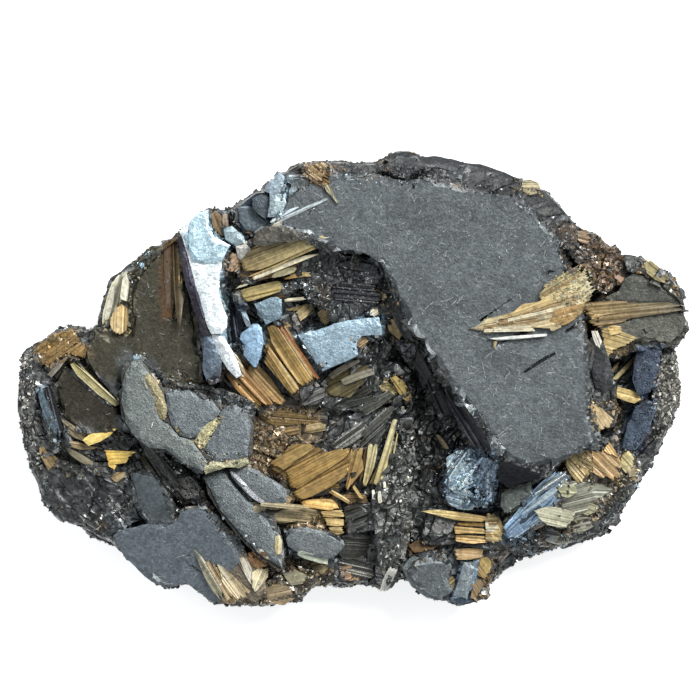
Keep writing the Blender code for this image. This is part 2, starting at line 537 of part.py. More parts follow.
def rutile():
    """Every sheaf, and the socket that each leaves in the stone."""
    sheaf("rutile_upper_fan", GOLD_FINISH, (-8.2, 8.2), (-2.2, 10.1), 1.9, 5, rise=1.4, spread=1.2)
    sheaf("rutile_upper_blades", GOLD_FINISH, (-8.3, 6.1), (-3.4, 7.6), 1.2, 3, lift=0.3, rise=0.8)
    sheaf("rutile_amber_bundle", AMBER_FINISH, (-9.2, 1.7), (-5.4, -2.0), 2.5, 4, lift=0.4, taper=0.7)
    sheaf("rutile_centre_sheaf", GOLD_FINISH, (-5.7, 4.0), (-3.2, -0.9), 2.4, 4, lift=0.4, spread=1.15,
          taper=0.7)
    sheaf("rutile_centre_boards", GOLD_FINISH, (-5.0, -7.6), (-0.2, -5.6), 2.8, 4, lift=0.4, rise=0.9,
          taper=0.6)
    sheaf("rutile_needles", GOLD_FINISH, (1.2, -8.2), (2.4, -3.6), 2.2, 4, lift=0.4, rise=1.0, spread=1.3)
    sheaf("rutile_lower_boards", STRAW_FINISH, (-3.2, -10.4), (-0.8, -9.2), 1.8, 3, lift=0.3, rise=0.4)
    sheaf("rutile_right_spray", GOLD_FINISH, (10.2, 3.6), (16.0, 6.9), 1.6, 5, lift=-0.1, rise=0.5,
          spread=2.2)
    sheaf("rutile_east_band", STRAW_FINISH, (18.8, 5.0), (24.2, 5.6), 1.0, 2, lift=0.0, rise=0.1)
    sheaf("rutile_east_steps", GOLD_FINISH, (18.9, 2.9), (21.6, 3.3), 1.8, 3, lift=0.1, taper=0.7)
    sheaf("rutile_bar", STRAW_FINISH, (19.6, -0.7), (21.6, -1.3), 0.7, 1, lift=0.5, rise=0.0, taper=0.9)
    sheaf("rutile_southeast_fan", STRAW_FINISH, (16.2, -6.6), (20.0, -5.4), 2.2, 4, lift=0.3, taper=0.6)
    sheaf("rutile_south_sheaf", GOLD_FINISH, (10.6, -11.2), (5.6, -10.9), 2.6, 5, lift=0.2, rise=0.4)
    sheaf("rutile_west_blade", STRAW_FINISH, (-20.9, 1.2), (-17.2, -2.4), 0.6, 1, rise=0.1, taper=0.8)
    sheaf("rutile_west_flake_1", GOLD_FINISH, (-20.2, -4.6), (-17.8, -4.0), 0.8, 1)
    sheaf("rutile_west_flake_2", GOLD_FINISH, (-18.8, -6.1), (-16.4, -5.7), 1.0, 1)
    sheaf("rutile_northwest_bundle", AMBER_FINISH, (-18.0, 4.4), (-17.2, 7.7), 1.4, 3, taper=0.8)
    sheaf("rutile_north_patch", GOLD_FINISH, (-3.8, 13.2), (-1.6, 15.4), 1.2, 3, lift=-0.1, rise=0.2)
    sheaf("rutile_southwest_blades", GOLD_FINISH, (-11.6, -13.0), (-8.4, -16.0), 1.4, 3)
    boolean_with_all(STONE, "DIFFERENCE", SOCKETS)


def centre_on_origin():
    """Put the middle of the stone's box over the origin and its foot at height zero."""
    corners = [part.matrix_world @ vertex.co for part in PARTS.objects for vertex in part.data.vertices]
    low = [min(corner[axis] for corner in corners) for axis in range(3)]
    high = [max(corner[axis] for corner in corners) for axis in range(3)]
    shift = Vector((-0.5 * (low[0] + high[0]), -0.5 * (low[1] + high[1]), -low[2]))
    for part in PARTS.objects:
        part.data.transform(Matrix.Translation(shift))


clear_scene()
PARTS = new_collection("rutile_on_hematite")
PLATES = new_collection("plates")
SOCKETS = new_collection("sockets")
CUTTERS = new_collection("cutters")
HEMATITE = material("hematite", HEMATITE_COLOUR, 0.4, 0.6)
GOLD_FINISH = material("rutile_gold", GOLD, 0.35, 0.3)
AMBER_FINISH = material("rutile_amber", AMBER, 0.4, 0.2)
STRAW_FINISH = material("rutile_straw", STRAW, 0.35, 0.2)
STONE = hematite()
SURFACE = Surface(STONE)
rutile()
centre_on_origin()
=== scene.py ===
"""Looks of the rutile on hematite: a finely broken metallic stone with sheaves of striated gold blades.

Lengths are in millimetres, or in pixels of the photograph where a name ends in _PX. The stone lies under
the camera as in the photograph, so a pixel gives a place in X and Y, and the height comes from the stone.
Outlines are drawn, each with the points that its shape needs.
"""

import json
import math

import bmesh
import bpy
import numpy as np
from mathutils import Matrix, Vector
from mathutils.bvhtree import BVHTree
from mathutils.geometry import delaunay_2d_cdt

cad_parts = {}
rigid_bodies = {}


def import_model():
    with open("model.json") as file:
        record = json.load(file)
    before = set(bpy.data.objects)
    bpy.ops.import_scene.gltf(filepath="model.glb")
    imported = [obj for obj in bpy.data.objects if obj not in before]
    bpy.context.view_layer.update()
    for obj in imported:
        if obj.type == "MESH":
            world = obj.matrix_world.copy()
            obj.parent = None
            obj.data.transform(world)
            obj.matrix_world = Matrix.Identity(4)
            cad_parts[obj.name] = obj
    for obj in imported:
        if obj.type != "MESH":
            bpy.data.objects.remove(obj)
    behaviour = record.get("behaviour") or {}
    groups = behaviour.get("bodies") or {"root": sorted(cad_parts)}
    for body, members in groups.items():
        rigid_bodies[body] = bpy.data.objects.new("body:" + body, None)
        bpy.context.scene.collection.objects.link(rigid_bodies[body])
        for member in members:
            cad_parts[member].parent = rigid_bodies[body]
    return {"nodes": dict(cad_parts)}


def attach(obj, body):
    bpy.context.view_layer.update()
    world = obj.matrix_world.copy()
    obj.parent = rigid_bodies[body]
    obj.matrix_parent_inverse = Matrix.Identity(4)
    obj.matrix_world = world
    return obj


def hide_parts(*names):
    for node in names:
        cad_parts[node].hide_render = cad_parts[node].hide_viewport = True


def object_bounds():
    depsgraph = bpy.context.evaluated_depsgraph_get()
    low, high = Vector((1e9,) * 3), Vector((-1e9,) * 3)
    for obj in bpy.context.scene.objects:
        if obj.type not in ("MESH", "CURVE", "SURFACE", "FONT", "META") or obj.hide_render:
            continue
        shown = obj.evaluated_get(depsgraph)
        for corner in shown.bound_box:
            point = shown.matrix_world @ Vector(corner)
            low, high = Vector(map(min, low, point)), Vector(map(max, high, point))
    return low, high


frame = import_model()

CAD_LOW, CAD_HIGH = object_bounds()

MM = 0.001
STONE_SPAN_PX = 673.0  # width of the stone in the photograph
STONE_MIDDLE_PX = (353.5, 379.0)
PIXEL = (CAD_HIGH[0] - CAD_LOW[0]) / STONE_SPAN_PX / MM  # millimetres of stone in one pixel
BOX_LOW = np.array(CAD_LOW) / MM
BOX_HIGH = np.array(CAD_HIGH) / MM

# Colours, linear.
STEEL = (0.117, 0.131, 0.138)
STEEL_LIGHT = (0.155, 0.175, 0.180)
STEEL_PALE = (0.26, 0.30, 0.32)
BLUE = (0.150, 0.205, 0.265)
BLUE_DEEP = (0.055, 0.075, 0.120)
BLUE_DARK = (0.060, 0.082, 0.110)
# pale blue of painted glints on crumbs
ICE_GLINT = (0.44, 0.60, 0.70)
# pale blue of painted reflection on the mirror facets
MIRROR_PAINTED_REFLECTION = (0.235, 0.330, 0.390)
GRAPHITE = (0.088, 0.090, 0.090)
# near black: for black crystals and stains, and for painted shade in cracks
BLACK_AND_SHADE = (0.028, 0.029, 0.032)
PURPLE = (0.050, 0.045, 0.065)
OLIVE = (0.078, 0.073, 0.053)
UMBER = (0.050, 0.046, 0.036)
RUST = (0.150, 0.075, 0.035)
BROWN = (0.110, 0.062, 0.030)
OCHRE = (0.300, 0.195, 0.075)
TAN = (0.300, 0.215, 0.110)
GOLD = (0.370, 0.240, 0.085)
AMBER = (0.390, 0.215, 0.058)
STRAW = (0.430, 0.350, 0.190)
PALE = (0.600, 0.550, 0.400)
WHITISH = (0.700, 0.690, 0.620)
GREENISH = (0.360, 0.380, 0.270)


def place(point_px):
    """Millimetres on the stone for a pixel of the photograph."""
    return (
        (point_px[0] - STONE_MIDDLE_PX[0]) * PIXEL,
        (STONE_MIDDLE_PX[1] - point_px[1]) * PIXEL,
    )


def places(points_px):
    """The same for many pixels, as rows."""
    return np.array([place(point) for point in points_px])


# ---- noise --------------------------------------------------------------------------------------


def lattice_random(cells, salt):
    """Repeatable numbers from 0 to 1 for whole-number cells."""
    grid = cells.astype(np.int64).astype(np.uint64)
    mixed = grid[:, 0] * np.uint64(73856093)
    mixed ^= grid[:, 1] * np.uint64(19349663)
    mixed ^= grid[:, 2] * np.uint64(83492791)
    mixed ^= np.uint64(salt) * np.uint64(2654435761)
    mixed ^= mixed >> np.uint64(31)
    mixed *= np.uint64(0x9E3779B97F4A7C15)
    mixed ^= mixed >> np.uint64(29)
    mixed *= np.uint64(0xBF58476D1CE4E5B9)
    mixed ^= mixed >> np.uint64(32)
    return (mixed & np.uint64(0xFFFFFF)).astype(np.float64) / float(0x1000000)


def smooth_noise(points, size, salt):
    """Value noise from -1 to 1 with features about size across."""
    scaled = points / size
    base = np.floor(scaled)
    part = scaled - base
    part = part * part * (3.0 - 2.0 * part)
    total = np.zeros(len(points))
    for corner in range(8):
        step = np.array([corner & 1, (corner >> 1) & 1, (corner >> 2) & 1])
        weight = np.prod(np.where(step, part, 1.0 - part), axis=1)
        total += weight * lattice_random(base + step, salt)
    return total * 2.0 - 1.0


def nearest_cell(points, size, salt):
    """For each point: the whole-number cell whose random seed point is nearest, and the way to that seed."""
    scaled = points / size
    base = np.floor(scaled)
    best = np.full(len(points), 1e9)
    cell = base.copy()
    way = np.zeros_like(scaled)
    for shift_x in (-1, 0, 1):
        for shift_y in (-1, 0, 1):
            for shift_z in (-1, 0, 1):
                here = base + (shift_x, shift_y, shift_z)
                seed = here + np.stack([lattice_random(here, salt + axis) for axis in range(3)], axis=1)
                gap = scaled - seed
                far = np.einsum("ij,ij->i", gap, gap)
                closer = far < best
                best = np.where(closer, far, best)
                cell[closer] = here[closer]
                way[closer] = gap[closer]
    return cell, way * size


def facets(points, size, salt, steepness=0.6):
    """Broken crystal faces: each cell is a plane of its own height and tilt. Gives about -size to size."""
    cell, way = nearest_cell(points, size, salt)
    height = lattice_random(cell, salt + 11) * 2.0 - 1.0
    tilt = np.stack([lattice_random(cell, salt + 12 + axis) for axis in range(3)], axis=1) * 2.0 - 1.0
    return 0.5 * size * height + steepness * np.einsum("ij,ij->i", tilt, way)


# ---- outlines -----------------------------------------------------------------------------------


def inside(points, outline):
    """Which points (X, Y) lie inside an outline."""
    within = np.zeros(len(points), dtype=bool)
    x, y = points[:, 0], points[:, 1]
    for (x0, y0), (x1, y1) in zip(outline, np.roll(outline, -1, axis=0)):
        crosses = (y0 > y) != (y1 > y)
        with np.errstate(divide="ignore", invalid="ignore"):
            at = x0 + (y - y0) * (x1 - x0) / (y1 - y0)
        within ^= crosses & (x < at)
    return within


def edge_distance(points, outline):
    """Distance to an outline's nearest edge."""
    nearest = np.full(len(points), 1e9)
    for start, end in zip(outline, np.roll(outline, -1, axis=0)):
        run = end - start
        share = np.clip(((points - start) @ run) / max(run @ run, 1e-9), 0.0, 1.0)
        gap = points - (start + share[:, None] * run)
        nearest = np.minimum(nearest, np.hypot(gap[:, 0], gap[:, 1]))
    return nearest


def softly_inside(points, outline, feather):
    """0 outside an outline, 1 well inside it."""
    signed = np.where(inside(points, outline), 1.0, -1.0) * edge_distance(points, outline)
    return np.clip(0.5 + 0.5 * signed / feather, 0.0, 1.0)


def around(points, shape):
    """Which points lie in the box round a shape or just beside it: only these need a closer look."""
    return np.all((points > shape.min(0) - 1.0) & (points < shape.max(0) + 1.0), axis=1)


# The flat crystal faces, by outline.
SMOOTH_PX = {
    "great_plate": [(288, 184), (335, 174), (400, 176), (470, 190), (520, 202), (545, 228), (560, 256),
                    (578, 290), (584, 345), (588, 380), (585, 402), (592, 442), (560, 462), (520, 462),
                    (500, 450), (480, 420), (455, 388), (434, 356), (412, 322), (398, 292), (384, 264),
                    (345, 254), (320, 238), (280, 228)],
    "corner_facet": [(266, 212), (268, 190), (277, 178), (286, 174), (290, 188), (286, 205), (280, 216)],
    "corner_block": [(238, 206), (256, 193), (268, 191), (271, 206), (262, 228), (240, 230)],
    "shard": [(184, 234), (198, 215), (208, 212), (211, 229), (230, 246), (222, 262), (222, 302), (229, 325),
              (228, 345), (222, 378), (206, 380), (200, 340), (192, 290)],
    "west_plate": [(134, 285), (150, 262), (176, 242), (188, 290), (198, 350), (200, 380), (150, 370),
                   (138, 354), (122, 380), (116, 400), (96, 380), (84, 366), (96, 338), (132, 336)],
    "diamond": [(56, 374), (70, 363), (94, 386), (116, 408), (122, 424), (86, 430), (64, 414)],
    "southwest_plate": [(108, 538), (135, 522), (150, 523), (172, 524), (205, 506), (232, 530), (262, 562),
                        (262, 600), (215, 600), (190, 582), (165, 586), (148, 574), (125, 556)],
    "small_plate": [(134, 474), (150, 476), (161, 490), (172, 518), (158, 524), (148, 520), (138, 500)],
    "diagonal_a": [(138, 360), (150, 368), (160, 388), (168, 414), (160, 421), (172, 434), (194, 444),
                   (208, 463), (203, 469), (160, 448), (136, 432), (125, 414), (124, 382)],
    "diagonal_b": [(170, 393), (195, 394), (218, 410), (205, 426), (190, 436), (176, 424)],
    "diagonal_c": [(219, 420), (238, 412), (248, 426), (248, 454), (215, 457), (209, 444)],
    "diagonal_d": [(208, 479), (224, 473), (240, 490), (266, 514), (282, 548), (280, 563), (250, 538),
                   (222, 506)],
    "diagonal_e": [(232, 470), (250, 467), (270, 484), (290, 498), (268, 504), (244, 486)],
    "blue_block": [(286, 533), (300, 526), (326, 530), (343, 542), (330, 560), (292, 550)],
    "south_plate": [(410, 574), (427, 560), (444, 563), (448, 572), (440, 588), (423, 591)],
    "blue_prong": [(463, 562), (477, 560), (475, 576), (466, 600), (453, 596), (459, 576)],
    "black_wedge": [(498, 466), (515, 463), (538, 473), (528, 482), (508, 486)],
    "olive_wedge": [(500, 488), (530, 482), (528, 493), (510, 512)],
    "east_plate": [(612, 296), (626, 280), (640, 276), (664, 290), (684, 306), (689, 327), (672, 343),
                   (640, 341), (604, 352), (596, 322)],
    "mirror_plate": [(298, 336), (323, 328), (350, 321), (380, 317), (381, 334), (362, 336), (356, 354),
                     (322, 370), (310, 356)],
    "mirror_chip": [(256, 304), (280, 298), (282, 316), (264, 323)],
    "mirror_strip": [(242, 334), (258, 324), (264, 340), (258, 364), (246, 350)],
}

# Where the stone has a colour: outline, colour, strength. Most are its own colours; shard_shade is painted
# shade, and shard, blue_facet and the mirror tints are painted reflection. Later ones lie over earlier ones.
TINTS_PX = {
    "north_rim": ([(262, 165), (400, 145), (520, 170), (600, 230), (560, 262), (520, 200), (400, 176),
                   (280, 188)], (0.062, 0.065, 0.067), 0.85),
    "ledge_line": ([(330, 172), (400, 168), (470, 180), (520, 192), (548, 226), (540, 232), (515, 204),
                    (465, 190), (400, 178), (330, 180)], BLACK_AND_SHADE, 0.35),
    "great_plate": ([(270, 184), (330, 176), (400, 178), (470, 190), (520, 202), (548, 230), (566, 262),
                     (600, 330), (600, 460), (560, 466), (520, 466), (497, 454), (477, 424), (452, 391),
                     (431, 359), (409, 325), (395, 294), (381, 267), (344, 257), (318, 241), (270, 232)],
                    STEEL, 1.0),
    "west_plate": ([(122, 235), (176, 228), (192, 290), (204, 385), (120, 385), (84, 372), (84, 325),
                    (130, 300)], OLIVE, 1.0),
    "stripe": ([(173, 235), (182, 232), (183, 284), (174, 286)], OCHRE, 0.8),
    "stripe_shade": ([(164, 244), (172, 240), (172, 318), (164, 322)], RUST, 0.9),
    "diamond": ([(50, 360), (72, 356), (125, 410), (120, 436), (62, 422)], (0.042, 0.038, 0.029), 1.0),
    "lobe": ([(22, 352), (48, 330), (88, 322), (90, 350), (60, 364), (40, 380)], GRAPHITE, 0.9),
    "lobe_gold": ([(32, 347), (50, 333), (71, 327), (78, 333), (77, 344), (68, 351), (58, 361), (47, 368),
                   (39, 358)], OCHRE, 0.95),
    "lobe_olive": ([(78, 344), (89, 344), (92, 358), (80, 360)], TAN, 0.6),
    "west_edge": ([(16, 350), (34, 350), (36, 440), (50, 480), (16, 470)], (0.125, 0.125, 0.118), 0.9),
    "light_band": ([(37, 391), (44, 385), (60, 433), (54, 438)], BLUE, 0.9),
    "dark_band": ([(44, 386), (50, 382), (62, 428), (57, 434)], BLACK_AND_SHADE, 0.9),
    "crown": ([(384, 420), (412, 424), (414, 590), (380, 590)], (0.165, 0.166, 0.150), 0.6),
    "southwest_slope": ([(48, 478), (70, 455), (130, 470), (140, 520), (110, 535)], (0.094, 0.098, 0.098),
                        0.9),
    "diagonals": ([(120, 355), (150, 360), (175, 390), (255, 404), (254, 462), (205, 472), (150, 450),
                   (120, 420)], STEEL, 1.0),
    "diagonal_south": ([(200, 468), (245, 462), (298, 498), (285, 570), (255, 555), (205, 495)], STEEL, 1.0),
    "gold_on_a": ([(141, 374), (150, 372), (162, 386), (166, 402), (166, 417), (160, 420), (150, 393)], TAN,
                  0.85),
    "southwest_plate": ([(105, 520), (205, 500), (270, 560), (262, 606), (120, 580)], STEEL, 1.0),
    "small_plate": ([(128, 470), (150, 470), (178, 520), (150, 528)], STEEL, 1.0),
    "south_corner": ([(214, 564), (250, 552), (300, 556), (330, 566), (330, 590), (262, 610), (230, 600)],
                     OCHRE, 0.35),
    "shard": ([(180, 228), (208, 206), (236, 248), (222, 262), (232, 345), (222, 366), (208, 345),
               (196, 290)], (0.30, 0.42, 0.50), 1.0),
    "shard_shade": ([(176, 236), (183, 234), (197, 290), (214, 340), (206, 338), (190, 300)], PURPLE, 1.0),
    "shard_foot": ([(202, 334), (218, 338), (223, 362), (214, 383), (203, 375)], BLUE_DARK, 1.0),
    "blue_facet": ([(262, 214), (264, 188), (278, 174), (288, 174), (290, 190), (284, 218)], MIRROR_PAINTED_REFLECTION, 1.0),
    "corner_block": ([(234, 206), (256, 190), (272, 190), (268, 228), (240, 234)], BLUE_DARK, 1.0),
    "mirror_plate": ([(296, 334), (323, 326), (384, 314), (383, 336), (359, 338), (358, 356), (323, 373)],
                     MIRROR_PAINTED_REFLECTION, 1.0),
    "mirror_chip": ([(253, 303), (281, 296), (284, 317), (263, 326)], (0.16, 0.21, 0.23), 1.0),
    "mirror_strip": ([(239, 333), (248, 325), (262, 323), (266, 340), (258, 368), (243, 350)], MIRROR_PAINTED_REFLECTION, 1.0),
    "blue_crystals": ([(440, 490), (450, 450), (490, 448), (502, 465), (494, 508), (458, 512)], BLUE, 1.0),
    "black_wedge": ([(496, 462), (516, 460), (542, 474), (528, 484), (506, 488)], BLACK_AND_SHADE, 1.0),
    "olive_wedge": ([(498, 488), (532, 480), (530, 494), (508, 517)], OLIVE, 1.0),
    "blue_sheaf": ([(500, 538), (530, 492), (572, 470), (570, 492), (545, 520), (515, 545)], BLUE, 1.0),
    "east_plate": ([(596, 300), (625, 270), (670, 280), (695, 325), (672, 350), (600, 356)],
                   (0.088, 0.089, 0.077), 1.0),
    "rust_notch": ([(556, 226), (600, 226), (626, 255), (620, 292), (600, 296), (572, 262)],
                   (0.11, 0.075, 0.048), 0.75),
    "blue_column": ([(630, 350), (662, 345), (655, 400), (632, 398)], BLUE_DEEP, 1.0),
    "blue_column_low": ([(620, 450), (628, 405), (656, 402), (645, 452)], BLUE_DEEP, 1.0),
    "east_column": ([(585, 338), (612, 335), (620, 430), (590, 432)], GRAPHITE, 1.0),
    "tan_rim": ([(657, 362), (680, 355), (684, 432), (660, 436)], (0.15, 0.145, 0.12), 0.6),
    "south_plate": ([(405, 575), (425, 555), (452, 560), (446, 595), (415, 595)], STEEL, 1.0),
    "blue_prong": ([(448, 600), (460, 560), (480, 558), (472, 604)], BLUE, 1.0),
    "blue_block": ([(282, 530), (300, 522), (346, 540), (330, 566), (286, 556)], (0.115, 0.135, 0.150), 1.0),
    "blue_gap": ([(228, 304), (246, 304), (250, 326), (240, 344), (230, 340)], BLUE_DARK, 1.0),
    "hearth": ([(258, 412), (325, 408), (320, 440), (250, 485), (246, 430)], TAN, 0.55),
    "hearth_south": ([(250, 492), (335, 495), (345, 530), (285, 530)], TAN, 0.8),
    "southeast": ([(560, 462), (622, 452), (640, 470), (600, 520), (545, 550), (530, 530)], OCHRE, 0.25),
    "great_plate_foot": ([(540, 420), (584, 410), (590, 440), (560, 462), (530, 462)], STEEL, 1.0),
}
DEFAULT_TINT = (0.100, 0.104, 0.104)
# Stains on broken stone: colour, size in millimetres, salt, and how rare they are.
STAINS = ((BROWN, 2.2, 65, 1.0), (OCHRE, 1.1, 66, 1.15), (BLACK_AND_SHADE, 1.6, 67, 0.75), (WHITISH, 0.5, 68, 1.45))

# How rough the broken stone is: outline, share of the full relief. Later ones lie over earlier ones.
RELIEF_PX = {
    "rims": ([(10, 140), (695, 140), (695, 615), (10, 615)], 0.5),
    "north_rim": ([(255, 150), (400, 140), (520, 160), (610, 235), (560, 262), (520, 200), (400, 178),
                   (270, 190)], 0.14),
    "crown": ([(330, 370), (390, 340), (420, 400), (414, 590), (380, 590), (385, 420)], 0.9),
    "crevice": ([(330, 250), (385, 262), (410, 320), (450, 380), (495, 450), (440, 510), (410, 430),
                 (385, 330)], 1.0),
    "southwest_gap": ([(150, 446), (176, 446), (262, 540), (262, 560), (200, 500)], 1.0),
    "blue_crystals": ([(440, 490), (450, 450), (490, 448), (502, 465), (494, 508), (458, 512)], 1.0),
}


# ---- meshes and colours -------------------------------------------------------------------------


def mesh_object(name, points, faces, colours, roughness, finish):
    """A piece of the specimen from points in millimetres, with one colour (and roughness) per point."""
    mesh = bpy.data.meshes.new(name)
    mesh.from_pydata((np.asarray(points) * MM).tolist(), [], faces)
    paint(mesh, colours, roughness)
    piece = bpy.data.objects.new(name, mesh)
    bpy.context.scene.collection.objects.link(piece)
    mesh.materials.append(finish)
    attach(piece, "root")
    return piece


def paint(mesh, colours, roughness):
    """Keeps a linear colour per point in the attribute tint, with the roughness as its alpha."""
    tint = mesh.attributes.new("tint", "FLOAT_COLOR", "POINT")
    values = np.column_stack([np.clip(colours, 0.0, 1.0), np.clip(roughness, 0.05, 1.0)])
    tint.data.foreach_set("color", values.astype(np.float32).ravel())


def random_turns(rng, count):
    """Random rotation matrices."""
    quaternion = rng.normal(size=(count, 4))
    quaternion /= np.linalg.norm(quaternion, axis=1)[:, None]
    w, x, y, z = quaternion.T
    return np.stack([
        np.stack([1 - 2 * (y * y + z * z), 2 * (x * y - z * w), 2 * (x * z + y * w)], axis=1),
        np.stack([2 * (x * y + z * w), 1 - 2 * (x * x + z * z), 2 * (y * z - x * w)], axis=1),
        np.stack([2 * (x * z - y * w), 2 * (y * z + x * w), 1 - 2 * (x * x + y * y)], axis=1),
    ], axis=1)


CRUMB_POINTS = np.array([(-1, -1, -1), (1, -1, -1), (1, 1, -1), (-1, 1, -1),
                         (-0.7, -0.8, 1), (0.8, -0.6, 1), (0.6, 0.8, 1), (-0.8, 0.7, 1)]) * 0.5
CRUMB_FACES = np.array([(0, 3, 2, 1), (4, 5, 6, 7), (0, 1, 5, 4), (1, 2, 6, 5), (2, 3, 7, 6), (3, 0, 4, 7)])


def crumbs(rng, centres, sizes, turns):
    """Many little blocks: points and faces. Sizes are length, width and height of each."""
    count = len(centres)
    corners = np.tile(CRUMB_POINTS, (count, 1, 1)) + rng.uniform(-0.16, 0.16, (count, 8, 3))
    corners = corners * sizes[:, None, :]
    points = np.einsum("nij,nkj->nki", turns, corners) + centres[:, None, :]
    faces = CRUMB_FACES[None] + (np.arange(count) * 8)[:, None, None]
    return points.reshape(-1, 3), faces.reshape(-1, 4).tolist()


# ---- materials ----------------------------------------------------------------------------------


def node(tree, kind, **values):
    made = tree.nodes.new(kind)
    for name, value in values.items():
        setattr(made, name, value)
    return made


def textured(tree, kind, scale, **values):
    """A noise or Voronoi texture in the object's own coordinates, with features 1 / scale metres across."""
    coordinates = node(tree, "ShaderNodeTexCoord")
    texture = node(tree, kind)
    texture.inputs["Scale"].default_value = scale
    for name, value in values.items():
        texture.inputs[name].default_value = value
    tree.links.new(coordinates.outputs["Object"], texture.inputs["Vector"])
    return texture


def ranged(tree, source, span, result):
    """A value carried from one span to another."""
    made = node(tree, "ShaderNodeMapRange")
    made.inputs["From Min"].default_value = span[0]
    made.inputs["From Max"].default_value = span[1]
    made.inputs["To Min"].default_value = result[0]
    made.inputs["To Max"].default_value = result[1]
    tree.links.new(source, made.inputs["Value"])
    return made.outputs["Result"]


def multiplied(tree, first, second):
    made = node(tree, "ShaderNodeMath", operation="MULTIPLY")
    tree.links.new(first, made.inputs[0])
    tree.links.new(second, made.inputs[1])
    return made.outputs["Value"]


NOISE_SPAN = (0.3, 0.7)  # what a noise texture mostly gives
GRAIN_SHADES = (0.78, 1.22)
FLECK_SHADES = (0.78, 1.24)
GRAIN_ROUGHNESS = (0.85, 1.2)


def tinted_material(name, metallic, grain, fleck, bump_height, ior=1.5):
    """A finish whose colour and roughness come from the attribute tint, varied by a fine grain and flecks."""
    material = bpy.data.materials.new(name)
    material.use_nodes = True
    tree = material.node_tree
    shader = tree.nodes["Principled BSDF"]
    shader.inputs["Metallic"].default_value = metallic
    shader.inputs["IOR"].default_value = ior
    tint = node(tree, "ShaderNodeAttribute", attribute_name="tint")
    fine = textured(tree, "ShaderNodeTexNoise", grain, Detail=5.0, Roughness=0.65)
    spots = textured(tree, "ShaderNodeTexVoronoi", fleck)
    single = node(tree, "ShaderNodeSeparateColor")
    tree.links.new(spots.outputs["Color"], single.inputs["Color"])
    shade = multiplied(
        tree,
        ranged(tree, fine.outputs["Fac"], NOISE_SPAN, GRAIN_SHADES),
        ranged(tree, single.outputs["Red"], (0.0, 1.0), FLECK_SHADES),
    )
    colour = node(tree, "ShaderNodeVectorMath", operation="SCALE")
    tree.links.new(tint.outputs["Color"], colour.inputs[0])
    tree.links.new(shade, colour.inputs["Scale"])
    tree.links.new(colour.outputs["Vector"], shader.inputs["Base Color"])
    worn = ranged(tree, fine.outputs["Fac"], NOISE_SPAN, GRAIN_ROUGHNESS)
    rough = multiplied(tree, tint.outputs["Alpha"], worn)
    tree.links.new(rough, shader.inputs["Roughness"])
    bump = node(tree, "ShaderNodeBump")
    bump.inputs["Strength"].default_value = 1.0
    bump.inputs["Distance"].default_value = bump_height
    tree.links.new(fine.outputs["Fac"], bump.inputs["Height"])
    tree.links.new(bump.outputs["Normal"], shader.inputs["Normal"])
    return material


# ---- the stone ----------------------------------------------------------------------------------

STONE_CELLS = 9  # powers of two along the stone's length
STONE_TRIANGLES = 190000
REMESHED_SHARE = 0.99  # how much of the remesher's box the stone fills
BED_GROWTH = 0.5
BED_DEPTH = 0.45
STRATUM = 0.55  # thickness of a layer that shows on the walls
LEDGE = 0.35  # how far a layer stands out
BASE_TOP = 0.35  # the stone gets no relief below this height
LEVEL_REACH = 0.7  # a bump this high on a flat crystal face is levelled
PLANE_REACHES = (2.0, 0.4)  # points this near to a face's plane count, roughly at first
FACE_POINTS = 20  # fewer points make no face
WEST_GRAIN = math.radians(-42.0)
EAST_GRAIN = math.radians(58.0)
GRAIN_BORDER = -4.0  # the grain changes here, in millimetres along X
TINT_FLOOR = 3.8  # the colours of TINTS_PX fade in above this height
TINT_RISE = 0.8
# glinting cells of broken stone are coloured GLINT_LIGHT times lighter: a painted glint
GLINT = 0.93  # cells of broken stone with a higher random number flash
GLINT_LIGHT = 2.8
GLINT_ROUGHNESS = 0.22


def cad_copy(node_name):
    """A copy of a CAD node to work on."""
    cad = frame["nodes"][node_name]
    copy = bpy.data.objects.new(node_name + "_copy", cad.data.copy())
    bpy.context.scene.collection.objects.link(copy)
    return copy


def apply_modifiers(piece):
    depsgraph = bpy.context.evaluated_depsgraph_get()
    mesh = bpy.data.meshes.new_from_object(piece.evaluated_get(depsgraph))
    piece.modifiers.clear()
    piece.data = mesh


def bed(node_name):
    """The stone that carries a sheaf: the sheaf's hull, a little wider and lower."""
    copy = cad_copy(node_name)
    tool = bmesh.new()
    tool.from_mesh(copy.data)
    hull = bmesh.ops.convex_hull(tool, input=tool.verts)
    left_over = hull["geom_interior"] + hull["geom_unused"]
    spare = [item for item in left_over if isinstance(item, bmesh.types.BMVert)]
    bmesh.ops.delete(tool, geom=spare, context="VERTS")
    middle = sum((vertex.co for vertex in tool.verts), Vector()) / len(tool.verts)
    for vertex in tool.verts:
        away = (vertex.co - middle).to_2d()
        shift = away.normalized() * BED_GROWTH * MM
        vertex.co += Vector((shift.x, shift.y, -BED_DEPTH * MM))
    bmesh.ops.recalc_face_normals(tool, faces=tool.faces)
    tool.to_mesh(copy.data)
    tool.free()
    return copy


def solid_stone():
    """The CAD stone with its sockets filled, as an even fine mesh."""
    stone = cad_copy("hematite")
    beds = bpy.data.collections.new("beds")
    bpy.context.scene.collection.children.link(beds)
    for node_name in frame["nodes"]:
        if node_name != "hematite":
            one = bed(node_name)
            bpy.context.scene.collection.objects.unlink(one)
            beds.objects.link(one)
    union = stone.modifiers.new("beds", "BOOLEAN")
    union.operation = "UNION"
    union.solver = "EXACT"
    union.operand_type = "COLLECTION"
    union.collection = beds
    even = stone.modifiers.new("even", "REMESH")
    even.mode = "SHARP"
    even.octree_depth = STONE_CELLS
    even.scale = REMESHED_SHARE
    even.use_remove_disconnected = False
    apply_modifiers(stone)
    for one in list(beds.objects):
        bpy.data.objects.remove(one)
    bpy.data.collections.remove(beds)
    return stone


